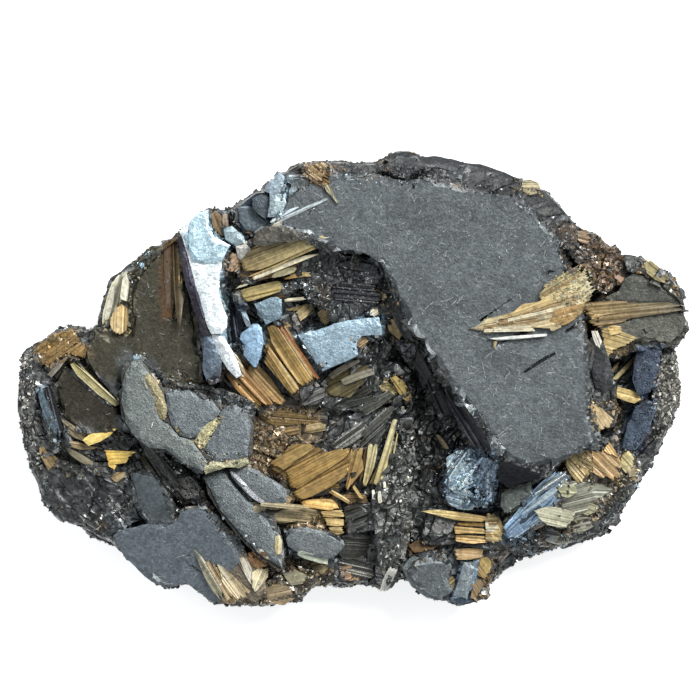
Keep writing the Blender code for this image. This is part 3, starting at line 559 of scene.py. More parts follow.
def mesh_points(mesh):
    """The points of a mesh in millimetres."""
    points = np.zeros(len(mesh.vertices) * 3, np.float32)
    mesh.vertices.foreach_get("co", points)
    return points.reshape(-1, 3).astype(np.float64) / MM


def place_points(mesh, points):
    mesh.vertices.foreach_set("co", (points * MM).astype(np.float32).ravel())
    mesh.update()


def mesh_normals(mesh):
    normals = np.zeros(len(mesh.vertices) * 3, np.float32)
    mesh.vertex_normals.foreach_get("vector", normals)
    return normals.reshape(-1, 3).astype(np.float64)


def levelled(points, normals):
    """The stone with its flat crystal faces made plane, so that no bed stands out of them."""
    flat = points.copy()
    for outline in SMOOTH_PX.values():
        within = inside(points[:, :2], places(outline))
        face = points[within & (normals[:, 2] > 0.9)]
        for reach in PLANE_REACHES:
            if len(face) < FACE_POINTS:
                break
            plane = plane_through(face[:, :2], face[:, 2])
            face = face[np.abs(face[:, 2] - on_plane(plane, face[:, :2])) < reach]
        if len(face) < FACE_POINTS:
            continue
        plane = plane_through(face[:, :2], face[:, 2])
        target = on_plane(plane, points[:, :2])
        near = within & (np.abs(points[:, 2] - target) < LEVEL_REACH)
        flat[near, 2] = target[near]
    return flat


def smoothness(points, normals):
    """1 on the flat crystal faces, 0 on broken stone."""
    wobble = np.column_stack([smooth_noise(points, 0.7, 31), smooth_noise(points, 0.7, 32)]) * 0.22
    flat = points[:, :2] + wobble
    found = np.zeros(len(points))
    for outline in SMOOTH_PX.values():
        shape = places(outline)
        near = around(flat, shape)
        if near.any():
            found[near] = np.maximum(found[near], softly_inside(flat[near], shape, 0.25))
    return found * np.clip((normals[:, 2] - 0.75) / 0.2, 0.0, 1.0)


def relief_share(points):
    """How much of the full relief the broken stone has at each point."""
    share = np.zeros(len(points))
    for outline, relief in RELIEF_PX.values():
        weight = softly_inside(points[:, :2], places(outline), 0.6)
        share = share * (1.0 - weight) + relief * weight
    return share


def along_grain(points):
    """Points turned so that X follows the stone's grain, and shortened along it: long plates and ledges."""
    angle = np.where(points[:, 0] < GRAIN_BORDER, WEST_GRAIN, EAST_GRAIN)
    along = points[:, 0] * np.cos(angle) + points[:, 1] * np.sin(angle)
    across = points[:, 1] * np.cos(angle) - points[:, 0] * np.sin(angle)
    return np.column_stack([along * 0.45, across, points[:, 2] * 1.5])


def broken(points, normals, smooth):
    """How far each point moves along its normal, in millimetres: broken faces, and layers on the walls."""
    wall = np.clip((0.75 - np.abs(normals[:, 2])) / 0.4, 0.0, 1.0)
    warped = points + 0.18 * np.column_stack([smooth_noise(points, 0.9, salt) for salt in (41, 42, 43)])
    plates = along_grain(warped)
    rough = (
        0.45 * facets(plates, 1.5, 1, 0.75)
        + 0.30 * facets(plates, 0.62, 5, 1.0)
        + 0.26 * facets(warped, 0.30, 9, 1.2)
    ) * relief_share(points)
    layer = np.floor((warped[:, 2] + 0.5 * smooth_noise(points, 4.0, 44)) / STRATUM)
    patch = np.floor(warped[:, :2] / 5.0)
    ledge = lattice_random(np.column_stack([patch, layer]), 45) - 0.6
    plate = 0.030 * smooth_noise(points, 2.2, 46) + 0.03 * facets(warped, 0.5, 21, 0.3)
    return smooth * plate + (1.0 - smooth) * (rough - 0.05) + (1.0 - smooth) * wall * LEDGE * ledge


def stone_tint(points, normals, smooth):
    """Colour and roughness of the stone at each point."""
    wobble = np.column_stack([smooth_noise(points, 0.8, 51), smooth_noise(points, 0.8, 52)])
    flat = points[:, :2] + 0.2 * wobble
    colour = np.tile(np.array(DEFAULT_TINT), (len(points), 1))
    upward = np.clip((normals[:, 2] - 0.05) / 0.3, 0.0, 1.0)
    top = upward * np.clip((points[:, 2] - TINT_FLOOR) / TINT_RISE, 0.0, 1.0)
    for outline, tone, strength in TINTS_PX.values():
        shape = places(outline)
        near = around(flat, shape)
        if not near.any():
            continue
        share = (softly_inside(flat[near], shape, 0.2) * strength * top[near])[:, None]
        colour[near] = colour[near] * (1.0 - share) + np.array(tone) * share
    cell, _ = nearest_cell(points, 0.24, 61)
    glint = lattice_random(cell, 62)
    # cells above GLINT get a painted glint, the others a random tone
    speckle_and_glint = np.where(glint > GLINT, GLINT_LIGHT, 0.45 + 1.0 * glint)
    rough_share = 1.0 - smooth
    colour *= (1.0 + rough_share * (speckle_and_glint - 1.0))[:, None]
    mottle = 0.10 * smooth_noise(points, 3.0, 63) + 0.10 * smooth_noise(points, 0.5, 64)
    mottle += 0.16 * smooth_noise(points, 0.2, 69)
    colour *= (1.0 + mottle)[:, None]
    for tone, size, salt, onset in STAINS:
        stain = np.clip(smooth_noise(points, size, salt) * 2.0 - onset, 0.0, 1.0) * rough_share
        stain = (stain * (0.35 + 0.4 * glint))[:, None]
        colour = colour * (1.0 - stain) + np.array(tone) * stain
    broken_roughness = np.where(glint > GLINT, GLINT_ROUGHNESS, 0.34 + 0.18 * glint)
    return colour, broken_roughness * rough_share + 0.40 * smooth


def stone(finish):
    """The one piece that replaces the CAD stone: its shape in fine relief, with its colours."""
    piece = solid_stone()
    mesh = piece.data
    points = levelled(mesh_points(mesh), mesh_normals(mesh))
    place_points(mesh, points)
    normals = mesh_normals(mesh)
    smooth = smoothness(points, normals)
    base = points[:, 2] < BASE_TOP
    moved = points + normals * np.where(base, 0.0, broken(points, normals, smooth))[:, None]
    place_points(mesh, np.clip(moved, BOX_LOW, BOX_HIGH))
    thin = piece.modifiers.new("thin", "DECIMATE")
    thin.ratio = min(1.0, STONE_TRIANGLES / (2.0 * len(mesh.polygons)))
    apply_modifiers(piece)
    mesh = piece.data
    points, normals = mesh_points(mesh), mesh_normals(mesh)
    smooth = smoothness(points, normals)
    colour, roughness = stone_tint(points, normals, smooth)
    paint(mesh, colour, roughness)
    mesh.materials.clear()
    mesh.materials.append(finish)
    mesh.shade_flat()
    piece.name = "stone"
    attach(piece, "root")
    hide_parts("hematite")
    return piece


def surface_of(pieces):
    """A tree to find the height of some pieces, in metres."""
    points, faces = [], []
    for piece in pieces:
        first = len(points)
        points += [vertex.co for vertex in piece.data.vertices]
        faces += [tuple(corner + first for corner in face.vertices) for face in piece.data.polygons]
    return BVHTree.FromPolygons(points, faces)


DROP_HEIGHT = 20.0  # rays start above everything


def height_at(tree, x, y):
    """The height and the normal under a point, or None beside everything in the tree."""
    start = Vector((x * MM, y * MM, DROP_HEIGHT * MM))
    hit, normal, _, _ = tree.ray_cast(start, Vector((0.0, 0.0, -1.0)))
    if hit is None:
        return None
    return hit.z / MM, np.array(normal)


# ---- flat pieces --------------------------------------------------------------------------------


def plane_through(points, heights):
    """The plane height = a + b x + c y that fits some heights best."""
    system = np.column_stack([np.ones(len(points)), points])
    plane, _, _, _ = np.linalg.lstsq(system, heights, rcond=None)
    return plane


def on_plane(plane, points):
    """The heights of a plane over some points."""
    return plane[0] + points[:, 0] * plane[1] + points[:, 1] * plane[2]


def cad_top(node_name):
    """The plane through the upper side of a CAD sheaf, in millimetres."""
    points = mesh_points(frame["nodes"][node_name].data)
    normals = mesh_normals(frame["nodes"][node_name].data)
    upper = points[normals[:, 2] > 0.25]
    return plane_through(upper[:, :2], upper[:, 2])


STEEPEST = 0.55  # slope of the steepest plane that a flat piece may lie on
PROBES = (0.25, 0.6, 0.92)  # where a shape looks for stone, from its middle to each corner
CEILING = BOX_HIGH[2] - 0.12  # no crystal top is higher, so that nothing leaves the stone's box


def seat(surface, shape, share=0.6, tilt=None):
    """A plane resting on the stone under a flat shape: it clears that share of the stone below it."""
    middle = shape.mean(0)
    probes = [middle + (corner - middle) * reach for corner in shape for reach in PROBES]
    found = [(probe, height_at(surface, probe[0], probe[1])) for probe in probes]
    spots = np.array([probe for probe, hit in found if hit])
    heights = np.array([hit[0] for _, hit in found if hit])
    if tilt is None:
        plane = plane_through(spots, heights)
        slope = math.hypot(plane[1], plane[2])
        if slope > STEEPEST:
            plane[1:] *= STEEPEST / slope
    else:
        plane = np.array([0.0, tilt[0], tilt[1]])
    plane[0] = 0.0
    plane[0] = np.quantile(heights - on_plane(plane, spots), share)
    return plane


class Heap:
    """Points, faces and colours of many solids that become one mesh."""

    def __init__(self, seed):
        self.rng = np.random.default_rng(seed)
        self.points = []
        self.faces = []
        self.colours = []
        self.roughness = []
        self.count = 0

    def take(self, points, faces, colours, roughness):
        self.points.append(np.asarray(points))
        self.colours.append(np.asarray(colours))
        self.roughness.append(np.broadcast_to(roughness, len(points)).astype(float))
        self.faces += [tuple(int(corner) + self.count for corner in face) for face in faces]
        self.count += len(points)

    def piece(self, name, finish, slot):
        points = np.clip(np.concatenate(self.points), BOX_LOW, BOX_HIGH)
        made = mesh_object(name, points, self.faces, np.concatenate(self.colours),
                           np.concatenate(self.roughness), finish)
        made.data.shade_flat()
        return made


PLATE_THICKNESS = 1.5
PLATE_GRAIN = 0.34  # between the points inside a plate
PLATE_RELIEF = 0.012
PLATE_MOTTLE = 0.10
PLATE_ROUGHNESS = 0.36
RIM_STEP = 0.4  # between the points on a plate's rim
RIM_WANDER = 0.035
BEVEL_WIDTH = 0.08
BEVEL_DEPTH = 0.03
STREAK_WIDTH = 0.16
STREAK_RELIEF = 0.012
# a plate's lower side is coloured darker by this: painted shade
UNDERSIDE_PAINTED_SHADE = 0.35


def run_direction(run_px):
    """The direction from the first to the second pixel, as a unit vector on the stone."""
    direction = places([run_px[1]])[0] - places([run_px[0]])[0]
    return direction / np.linalg.norm(direction)


def plate_rim(rng, corners):
    """Points along an outline, straying a little between its corners."""
    rim = []
    for start, end in zip(corners, np.roll(corners, -1, axis=0)):
        run = end - start
        steps = max(1, int(np.linalg.norm(run) / RIM_STEP))
        for step in range(steps):
            rim.append(start + run * step / steps + rng.normal(0.0, RIM_WANDER, 2) * (step > 0))
    return np.array(rim)


def points_within(rng, rim):
    """A shaken grid of points inside a rim."""
    low_corner, high_corner = rim.min(0), rim.max(0)
    across = np.arange(low_corner[0], high_corner[0], PLATE_GRAIN)
    down = np.arange(low_corner[1], high_corner[1], PLATE_GRAIN)
    inner = np.array(np.meshgrid(across, down)).reshape(2, -1).T
    inner += rng.uniform(-0.35, 0.35, inner.shape) * PLATE_GRAIN
    inner = inner[inside(inner, rim)]
    return inner[edge_distance(inner, rim) > 0.45 * PLATE_GRAIN]


def triangulated(rim, inner):
    """Points, and triangles facing up, that fill a rim."""
    flat = [Vector(point) for point in np.concatenate([rim, inner])]
    loop = [list(range(len(rim)))]
    spread, _, triangles, _, _, _ = delaunay_2d_cdt(flat, [], loop, 1, 1e-5)
    spread = np.array([tuple(point) for point in spread])
    faces = [tuple(triangle) for triangle in triangles]
    signed = sum(spread[a][0] * spread[b][1] - spread[b][0] * spread[a][1]
                 for a, b in zip(faces[0], faces[0][1:] + faces[0][:1]))
    if signed < 0:
        faces = [tuple(reversed(face)) for face in faces]
    return spread, faces


def slab_faces(faces, count):
    """A closed slab from its upper faces; each lower point comes count points after its upper one."""
    edges = dict.fromkeys((a, b) for face in faces for a, b in zip(face, face[1:] + face[:1]))
    walls = [(b, a, a + count, b + count) for a, b in edges if (b, a) not in edges]
    bottoms = [tuple(corner + count for corner in reversed(face)) for face in faces]
    return faces + walls + bottoms


def streaks(spread, run_px):
    """Narrow and wide streaks along a run, from -1 to 1 at each point."""
    direction = run_direction(run_px)
    side = spread @ np.array([-direction[1], direction[0]])
    lines = np.column_stack([side, np.zeros(len(spread)), spread @ direction * 0.12])
    return smooth_noise(lines, STREAK_WIDTH, 75), smooth_noise(lines, 0.5, 76)


def crystal_plate(heap, plane, outline_px, tone, lift, streak_px):
    """A flat crystal with a crisp outline, seated on the stone: closed, faintly uneven on top."""
    rng = heap.rng
    rim = plate_rim(rng, places(outline_px))
    spread, faces = triangulated(rim, points_within(rng, rim))
    count = len(spread)
    heights = np.minimum(on_plane(plane, spread) + lift, CEILING)
    at = np.column_stack([spread, heights])
    heights += PLATE_RELIEF * smooth_noise(at, 1.1, 71) + 0.5 * PLATE_RELIEF * facets(at, 0.6, 72)
    heights -= BEVEL_DEPTH * np.clip(1.0 - edge_distance(spread, rim) / BEVEL_WIDTH, 0.0, 1.0)
    outward = spread - spread.mean(0)
    outward /= np.maximum(np.linalg.norm(outward, axis=1), 1e-6)[:, None]
    foot = spread + outward * (0.01 + 0.04 * rng.random((count, 1)))
    top = np.column_stack([spread, heights])
    bottom = np.column_stack([foot, heights - PLATE_THICKNESS])
    shade = 1.0 + PLATE_MOTTLE * smooth_noise(at, 0.9, 73) + 0.6 * PLATE_MOTTLE * smooth_noise(at, 0.3, 74)
    if streak_px is not None:
        narrow, wide = streaks(spread, streak_px)
        contrast = 1.0 - max(tone)
        shade += contrast * (0.45 * narrow + 0.2 * wide)
        top[:, 2] += STREAK_RELIEF * narrow
    colours = np.outer(shade, tone)
    heap.take(np.concatenate([top, bottom]), slab_faces(faces, count),
              np.concatenate([colours, colours * UNDERSIDE_PAINTED_SHADE]), PLATE_ROUGHNESS)


COLUMN = 0.085  # between the fine ridges of a blade
STATIONS = np.array([0.0, 0.03, 0.35, 0.68, 0.97, 1.0])  # where along its length a ridge has points
STEP_CHANCE = 0.16  # how often a blade steps up or down from one ridge to the next
STEP_HEIGHTS = (-0.10, 0.05)
STEP_SHADES = (0.82, 1.15)
RIDGE_HEIGHT = 0.035
GROOVE_CHANCE = 0.10
GROOVE_PAINTED_SHADE = 0.55
GROOVE_DEPTH = 0.06
END_DROP = 0.08
WEAR = 0.12
# a blade's lower side is coloured darker by this: painted shade
BLADE_UNDERSIDE_PAINTED_SHADE = 0.45  # shade of the lower side


def crossings(outline, side):
    """Where the line at a distance across a shape enters and leaves it: the longest stretch inside."""
    found = []
    for (u0, v0), (u1, v1) in zip(outline, np.roll(outline, -1, axis=0)):
        if (v0 > side) != (v1 > side):
            found.append(u0 + (side - v0) * (u1 - u0) / (v1 - v0))
    found.sort()
    spans = [(b - a, a, b) for a, b in zip(found[::2], found[1::2])]
    return max(spans)[1:] if spans else None


def blended(tone, fade, share):
    """Colours from tone to fade along a blade, or tone alone."""
    if fade is None:
        return np.tile(np.array(tone), (len(share), 1))
    mix = share[:, None]
    return np.array(tone) * (1.0 - mix) + np.array(fade) * mix


def grid_faces(across, rows):
    """A closed slab on a grid of points: the upper points column by column, then the lower ones."""
    total = across * rows
    faces = []
    for column in range(across - 1):
        first = column * rows
        last = first + rows - 1
        for a in range(first, last):
            b = a + rows
            faces.append((a, a + 1, b + 1, b))
            faces.append((a + total, b + total, b + 1 + total, a + 1 + total))
        faces.append((first, first + rows, first + rows + total, first + total))
        faces.append((last, last + total, last + rows + total, last + rows))
    for a in range(rows - 1):
        b = a + (across - 1) * rows
        faces.append((a, a + total, a + 1 + total, a + 1))
        faces.append((b, b + 1, b + 1 + total, b + total))
    return faces


def blade(heap, plane, outline_px, run_px, tone, lift=0.0, thickness=0.4, ragged=0.12, contrast=0.28,
          fade=None, roughness=0.36, camber=0.0, tip_lift=0.0):
    """A flat striated blade with a given outline, its fine ridges running along run_px."""
    rng = heap.rng
    direction = run_direction(run_px)
    turn = np.array([direction, (-direction[1], direction[0])])
    local = places(outline_px) @ turn.T
    root, low_side = local.min(0)
    tip, high_side = local.max(0)
    columns = max(3, int((high_side - low_side) / COLUMN))
    step, step_shade = 0.0, 1.0
    tops, colours = [], []
    for column in range(columns):
        side = low_side + (high_side - low_side) * (column + 0.5) / columns
        span = crossings(local, side)
        if span is None:
            continue
        begin, end = span
        reach = end - begin
        begin += min(0.3 * reach, abs(rng.normal(0.0, ragged)) * 0.6)
        end -= min(0.3 * reach, abs(rng.normal(0.0, ragged)))
        if rng.random() < STEP_CHANCE:
            step = rng.uniform(*STEP_HEIGHTS)
            step_shade = rng.uniform(*STEP_SHADES)
        height = step + rng.uniform(-RIDGE_HEIGHT, RIDGE_HEIGHT)
        shade = step_shade * (1.0 + contrast * rng.uniform(-1.0, 1.0))
        # a sunken groove, coloured darker as painted shade
        if rng.random() < GROOVE_CHANCE:
            shade *= GROOVE_PAINTED_SHADE
            height -= GROOVE_DEPTH
        along = begin + (end - begin) * STATIONS
        flat = np.column_stack([along, np.full(len(STATIONS), side)]) @ turn
        share = (along - root) / max(tip - root, 1e-6)
        bow = camber * (1.0 - (2.0 * (column + 0.5) / columns - 1.0) ** 2)
        rise = on_plane(plane, flat) + lift + height + bow + tip_lift * share
        rise = np.minimum(rise, CEILING + 0.5 * height)
        rise[[0, -1]] -= END_DROP
        tops.append(np.column_stack([flat, rise]))
        worn = 1.0 + WEAR * rng.uniform(-1.0, 1.0, len(STATIONS))
        colours.append(blended(tone, fade, share) * (shade * worn)[:, None])
    if len(tops) < 2:
        return
    faces = grid_faces(len(tops), len(STATIONS))
    top, colours = np.concatenate(tops), np.concatenate(colours)
    low = top - (0.0, 0.0, thickness)
    heap.take(np.concatenate([top, low]), faces, np.concatenate([colours, colours * BLADE_UNDERSIDE_PAINTED_SHADE]),
              roughness)


# ---- laths --------------------------------------------------------------------------------------


LATH_RIDGES = 4
LATH_RAG = 0.5  # how unevenly the ends break, in widths
LATH_SHARES = (0.0, 0.36, 0.7, 1.0)  # where along its length a lath has points
LATH_ROUGHNESS = 0.36


def lath(heap, start, end, across, up, width, thickness, tone):
    """One narrow striated crystal from start to end, its ends broken unevenly."""
    rng = heap.rng
    run = end - start
    along = run / max(np.linalg.norm(run), 1e-6)
    offsets = np.concatenate([np.linspace(-0.5, 0.5, LATH_RIDGES + 1), [0.5, -0.5]])
    heights = np.concatenate([rng.uniform(0.6, 1.0, LATH_RIDGES + 1), [0.0, 0.0]])
    # the last two points, low on the sides, are coloured darker: painted shade
    shades = np.concatenate([rng.uniform(0.68, 1.2, LATH_RIDGES + 1), [0.4, 0.4]])
    size = len(offsets)
    rings = []
    for share in LATH_SHARES:
        slide = np.zeros(size)
        if share == 0.0:
            slide = rng.uniform(0.0, LATH_RAG, size) * width
        if share == 1.0:
            slide = rng.uniform(-LATH_RAG, 0.35 * LATH_RAG, size) * width
            slide += rng.uniform(-0.8, 0.8) * width * offsets
        here = start + run * share
        ring = here + np.outer(slide, along) + np.outer(offsets * width * rng.uniform(0.9, 1.05), across)
        rings.append(ring + np.outer((heights - 1.0) * thickness, up))
    faces = [
        (ring * size + index, ring * size + (index + 1) % size,
         (ring + 1) * size + (index + 1) % size, (ring + 1) * size + index)
        for ring in range(len(rings) - 1) for index in range(size)
    ]
    faces.append(tuple(reversed(range(size))))
    faces.append(tuple((len(rings) - 1) * size + index for index in range(size)))
    colours = np.tile(np.outer(shades, tone), (len(rings), 1))
    heap.take(np.concatenate(rings), faces, colours, LATH_ROUGHNESS)


def along_line(line, share):
    """The point at a share of a polyline's length."""
    spans = np.linalg.norm(np.diff(line, axis=0), axis=1)
    target = share * spans.sum()
    for index, span in enumerate(spans):
        if target <= span or index == len(spans) - 1:
            return line[index] + (line[index + 1] - line[index]) * min(target / max(span, 1e-9), 1.0)
        target -= span
    return line[-1]


FAN_THICKNESS = 0.3
FAN_DEPTH = 0.25  # how far the laths of a fan lie apart in height


def fan(heap, plane, root_px, tip_px, count, width, tones, ragged=0.2, roll=12.0, lift=0.0):
    """Laths side by side from a root line to a tip line, at slightly different heights."""
    rng = heap.rng
    root, tip = places(root_px), places(tip_px)
    for index in range(count):
        share = (index + rng.uniform(0.15, 0.85)) / count
        start, end = along_line(root, share), along_line(tip, share)
        cut = 1.0 - ragged * rng.random() ** 1.5
        begin = ragged * 0.5 * rng.random() ** 2
        ends = np.array([start + (end - start) * begin, start + (end - start) * cut])
        sunk = rng.uniform(-FAN_DEPTH, 0.25 * FAN_DEPTH)
        heights = np.minimum(on_plane(plane, ends) + lift + sunk, CEILING)
        start, end = np.column_stack([ends, heights])
        run = (end - start) / np.linalg.norm(end - start)
        side = np.cross((0.0, 0.0, 1.0), run)
        side /= np.linalg.norm(side)
        turn = math.radians(rng.uniform(-roll, roll))
        across = side * math.cos(turn) + np.cross(run, side) * math.sin(turn)
        tone = tones[rng.integers(len(tones))]
        lath(heap, start, end, across, np.cross(run, across), width * rng.uniform(0.7, 1.35),
             FAN_THICKNESS * rng.uniform(0.8, 1.3), tone)


# ---- rutile -------------------------------------------------------------------------------------

AMBERS = (OCHRE, GOLD, OCHRE, AMBER, BROWN)


def upper_fan(heap, plane):
    up_right = ((246, 272), (328, 240))
    blade(heap, plane, [(250, 250), (262, 243), (280, 239), (300, 237), (320, 235), (327, 238), (318, 245),
                        (300, 253), (280, 262), (262, 270), (244, 272), (240, 262)], up_right,
          (0.27, 0.20, 0.09), lift=0.3, fade=(0.44, 0.37, 0.19), tip_lift=1.0)
    blade(heap, plane, [(332, 242), (328, 245), (312, 252), (291, 260), (275, 268), (262, 273), (250, 278),
                        (243, 275), (262, 270), (276, 265), (292, 255), (317, 244)], up_right,
          (0.32, 0.23, 0.085), lift=0.1, fade=(0.42, 0.34, 0.17), tip_lift=0.9)
    blade(heap, plane, [(319, 253), (319, 256), (302, 262), (284, 268), (277, 271), (254, 281), (252, 277),
                        (277, 267), (295, 258)], ((252, 279), (319, 254)), PALE, lift=0.16, contrast=0.15)
    blade(heap, plane, [(297, 267), (298, 271), (289, 275), (271, 279), (270, 275), (281, 270), (290, 267)],
          ((270, 278), (298, 268)), (0.30, 0.27, 0.16), lift=0.0)
    blade(heap, plane, [(243, 280), (238, 276), (242, 262), (252, 250), (262, 258), (250, 276)],
          up_right, (0.12, 0.085, 0.045), lift=-0.3)
    fan(heap, plane, [(240, 284), (246, 270)], [(286, 272), (300, 262)], 12, 0.3, (BROWN, OCHRE, TAN),
        lift=-0.35)


def upper_blades(heap, plane):
    right = ((240, 296), (283, 286))
    blade(heap, plane, [(239, 291), (253, 286), (271, 282), (283, 280), (282, 291), (268, 296), (253, 301),
                        (245, 302), (241, 296)], right, (0.38, 0.30, 0.13), lift=0.15,
          fade=(0.45, 0.36, 0.16))
    blade(heap, plane, [(234, 289), (244, 283), (252, 282), (252, 284), (240, 288), (235, 291)],
          ((234, 290), (252, 282)), PALE, lift=0.4, contrast=0.15)
    blade(heap, plane, [(284, 278), (299, 272), (312, 272), (312, 277), (302, 277), (291, 279), (283, 281)],
          ((284, 280), (312, 274)), AMBER, lift=0.1, fade=STRAW)
    blade(heap, plane, [(283, 299), (297, 297), (307, 297), (308, 300), (297, 302), (284, 303)],
          ((284, 301), (308, 299)), PALE, lift=0.0, contrast=0.15)
    fan(heap, plane, [(238, 302), (240, 290)], [(284, 298), (290, 282)], 10, 0.3, (OCHRE, BROWN, TAN),
        lift=-0.35)


def amber_bundle(heap, plane):
    down_right = ((228, 350), (280, 406))
    # the first blade's near-white is a painted highlight on the bundle
    blade(heap, plane, [(224, 346), (230, 348), (239, 357), (245, 368), (247, 374), (242, 380), (229, 370),
                        (222, 358)], down_right, (0.61, 0.58, 0.50), lift=0.45, fade=(0.43, 0.32, 0.17),
          contrast=0.18, roughness=0.25)
    blade(heap, plane, [(243, 365), (253, 377), (267, 395), (275, 404), (268, 407), (259, 400), (245, 386),
                        (236, 374)], down_right, (0.255, 0.126, 0.034), lift=0.25, fade=(0.32, 0.180, 0.058))
    blade(heap, plane, [(250, 363), (259, 364), (268, 374), (278, 388), (286, 401), (283, 406), (273, 402),
                        (259, 386), (247, 370)], down_right, (0.175, 0.110, 0.036), lift=0.1,
          fade=(0.28, 0.170, 0.056))
    blade(heap, plane, [(224, 362), (236, 376), (250, 392), (262, 404), (252, 404), (238, 392), (226, 376)],
          down_right, (0.203, 0.106, 0.035), lift=-0.1, fade=AMBER)
    fan(heap, plane, [(226, 372), (232, 352)], [(258, 408), (286, 404)], 14, 0.32, AMBERS, lift=-0.2)


def centre_sheaf(heap, plane):
    down_right = ((270, 330), (308, 388))
    blade(heap, plane, [(269, 344), (264, 362), (278, 379), (293, 396), (300, 390), (297, 383), (281, 363)],
          down_right, (0.32, 0.21, 0.08), lift=0.25, fade=(0.37, 0.26, 0.10))
    blade(heap, plane, [(267, 327), (271, 325), (277, 326), (285, 335), (299, 352), (317, 379), (302, 387),
                        (297, 381), (281, 359), (271, 342)], down_right, (0.167, 0.111, 0.034), lift=0.3,
          fade=(0.37, 0.24, 0.08), contrast=0.34)
    blade(heap, plane, [(281, 324), (285, 330), (301, 350), (321, 379), (318, 381), (299, 356), (280, 330)],
          down_right, (0.264, 0.102, 0.038), lift=0.12, fade=(0.44, 0.20, 0.08))
    fan(heap, plane, [(264, 352), (270, 328), (284, 324)], [(296, 396), (320, 380)], 12, 0.34, AMBERS,
        lift=-0.15)


def centre_boards(heap, plane):
    up_right = ((288, 480), (342, 452))
    blade(heap, plane, [(270, 470), (283, 458), (300, 447), (312, 444), (330, 452), (350, 447), (352, 460),
                        (340, 478), (318, 490), (302, 498), (292, 490), (284, 478)], up_right,
          (0.26, 0.17, 0.07), lift=-0.1)
    blade(heap, plane, [(268, 463), (280, 456), (292, 444), (311, 443), (314, 449), (300, 458), (284, 470),
                        (274, 467)], up_right, (0.305, 0.195, 0.064), lift=0.25, fade=(0.36, 0.245, 0.090),
          contrast=0.22)
    blade(heap, plane, [(284, 471), (315, 452), (322, 452), (320, 456), (287, 477)], up_right,
          (0.35, 0.23, 0.08), lift=0.20, contrast=0.22)
    blade(heap, plane, [(287, 477), (319, 455), (336, 449), (348, 448), (350, 452), (344, 459), (296, 490),
                        (290, 487)], up_right, (0.280, 0.174, 0.052), lift=0.30, fade=(0.34, 0.225, 0.078),
          contrast=0.22)
    blade(heap, plane, [(293, 492), (346, 459), (351, 462), (349, 474), (332, 486), (316, 495), (302, 500),
                        (295, 498)], up_right, (0.325, 0.21, 0.070), lift=0.32, fade=(0.28, 0.175, 0.060))
    fan(heap, plane, [(292, 500), (280, 462)], [(338, 492), (346, 452)], 16, 0.34, (BROWN, OCHRE, UMBER),
        lift=-0.35)


def needles(heap, plane):
    blade(heap, plane, [(351, 448), (364, 447), (362, 456), (364, 469), (357, 479), (347, 491), (345, 491),
                        (347, 477), (349, 464)], ((347, 491), (359, 448)), (0.44, 0.27, 0.11), lift=0.55,
          fade=(0.40, 0.29, 0.12))
    blade(heap, plane, [(368, 444), (378, 443), (377, 456), (373, 471), (366, 487), (362, 485), (366, 468)],
          ((365, 485), (374, 443)), (0.46, 0.38, 0.19), lift=0.70, fade=(0.50, 0.45, 0.27))
    blade(heap, plane, [(393, 418), (398, 419), (394, 436), (389, 458), (386, 472), (379, 486), (373, 484),
                        (378, 466), (384, 446), (389, 430)], ((376, 484), (396, 418)), (0.62, 0.52, 0.25),
          lift=0.95, fade=(0.66, 0.60, 0.36), contrast=0.15)
    blade(heap, plane, [(397, 432), (399, 434), (395, 451), (391, 477), (388, 477), (392, 455)],
          ((389, 477), (398, 433)), (0.44, 0.36, 0.18), lift=0.75, contrast=0.15)
    blade(heap, plane, [(392, 440), (395, 442), (390, 462), (386, 480), (381, 486), (386, 466)],
          ((383, 484), (394, 442)), (0.26, 0.24, 0.12), lift=0.80, contrast=0.2)
    blade(heap, plane, [(364, 450), (370, 443), (366, 470), (358, 486), (352, 490), (362, 470)],
          ((356, 488), (368, 446)), (0.14, 0.085, 0.035), lift=0.30)
    blade(heap, plane, [(383, 452), (388, 432), (392, 420), (386, 440), (380, 462), (372, 486), (369, 484)],
          ((371, 484), (390, 424)), (0.24, 0.18, 0.08), lift=0.55)
    blade(heap, plane, [(328, 492), (332, 489), (339, 493), (352, 502), (349, 505), (339, 499)],
          ((328, 490), (352, 504)), GOLD, lift=0.70, fade=(0.50, 0.38, 0.18))
    blade(heap, plane, [(351, 485), (354, 484), (365, 499), (361, 501)], ((352, 484), (363, 500)),
          (0.46, 0.34, 0.14), lift=0.85)
    blade(heap, plane, [(340, 496), (352, 492), (366, 494), (370, 504), (356, 508), (344, 502)],
          ((340, 500), (368, 500)), (0.16, 0.10, 0.045), lift=0.20)


def lower_boards(heap, plane):
    right = ((301, 504), (345, 510))
    blade(heap, plane, [(300, 501), (310, 499), (332, 499), (336, 502), (340, 508), (329, 511), (314, 509),
                        (302, 507)], right, (0.62, 0.38, 0.13), lift=0.25, fade=(0.70, 0.46, 0.17))
    blade(heap, plane, [(320, 511), (344, 510), (346, 517), (334, 518), (322, 517)], right,
          (0.44, 0.31, 0.13), lift=0.1, fade=(0.58, 0.43, 0.19))
    blade(heap, plane, [(323, 518), (344, 519), (345, 526), (336, 527), (326, 525)], right,
          (0.46, 0.33, 0.14), lift=0.0, fade=(0.60, 0.45, 0.20))
    blade(heap, plane, [(328, 527), (344, 527), (345, 534), (337, 536), (330, 533)], right,
          (0.42, 0.30, 0.13), lift=-0.1, fade=(0.58, 0.44, 0.20))


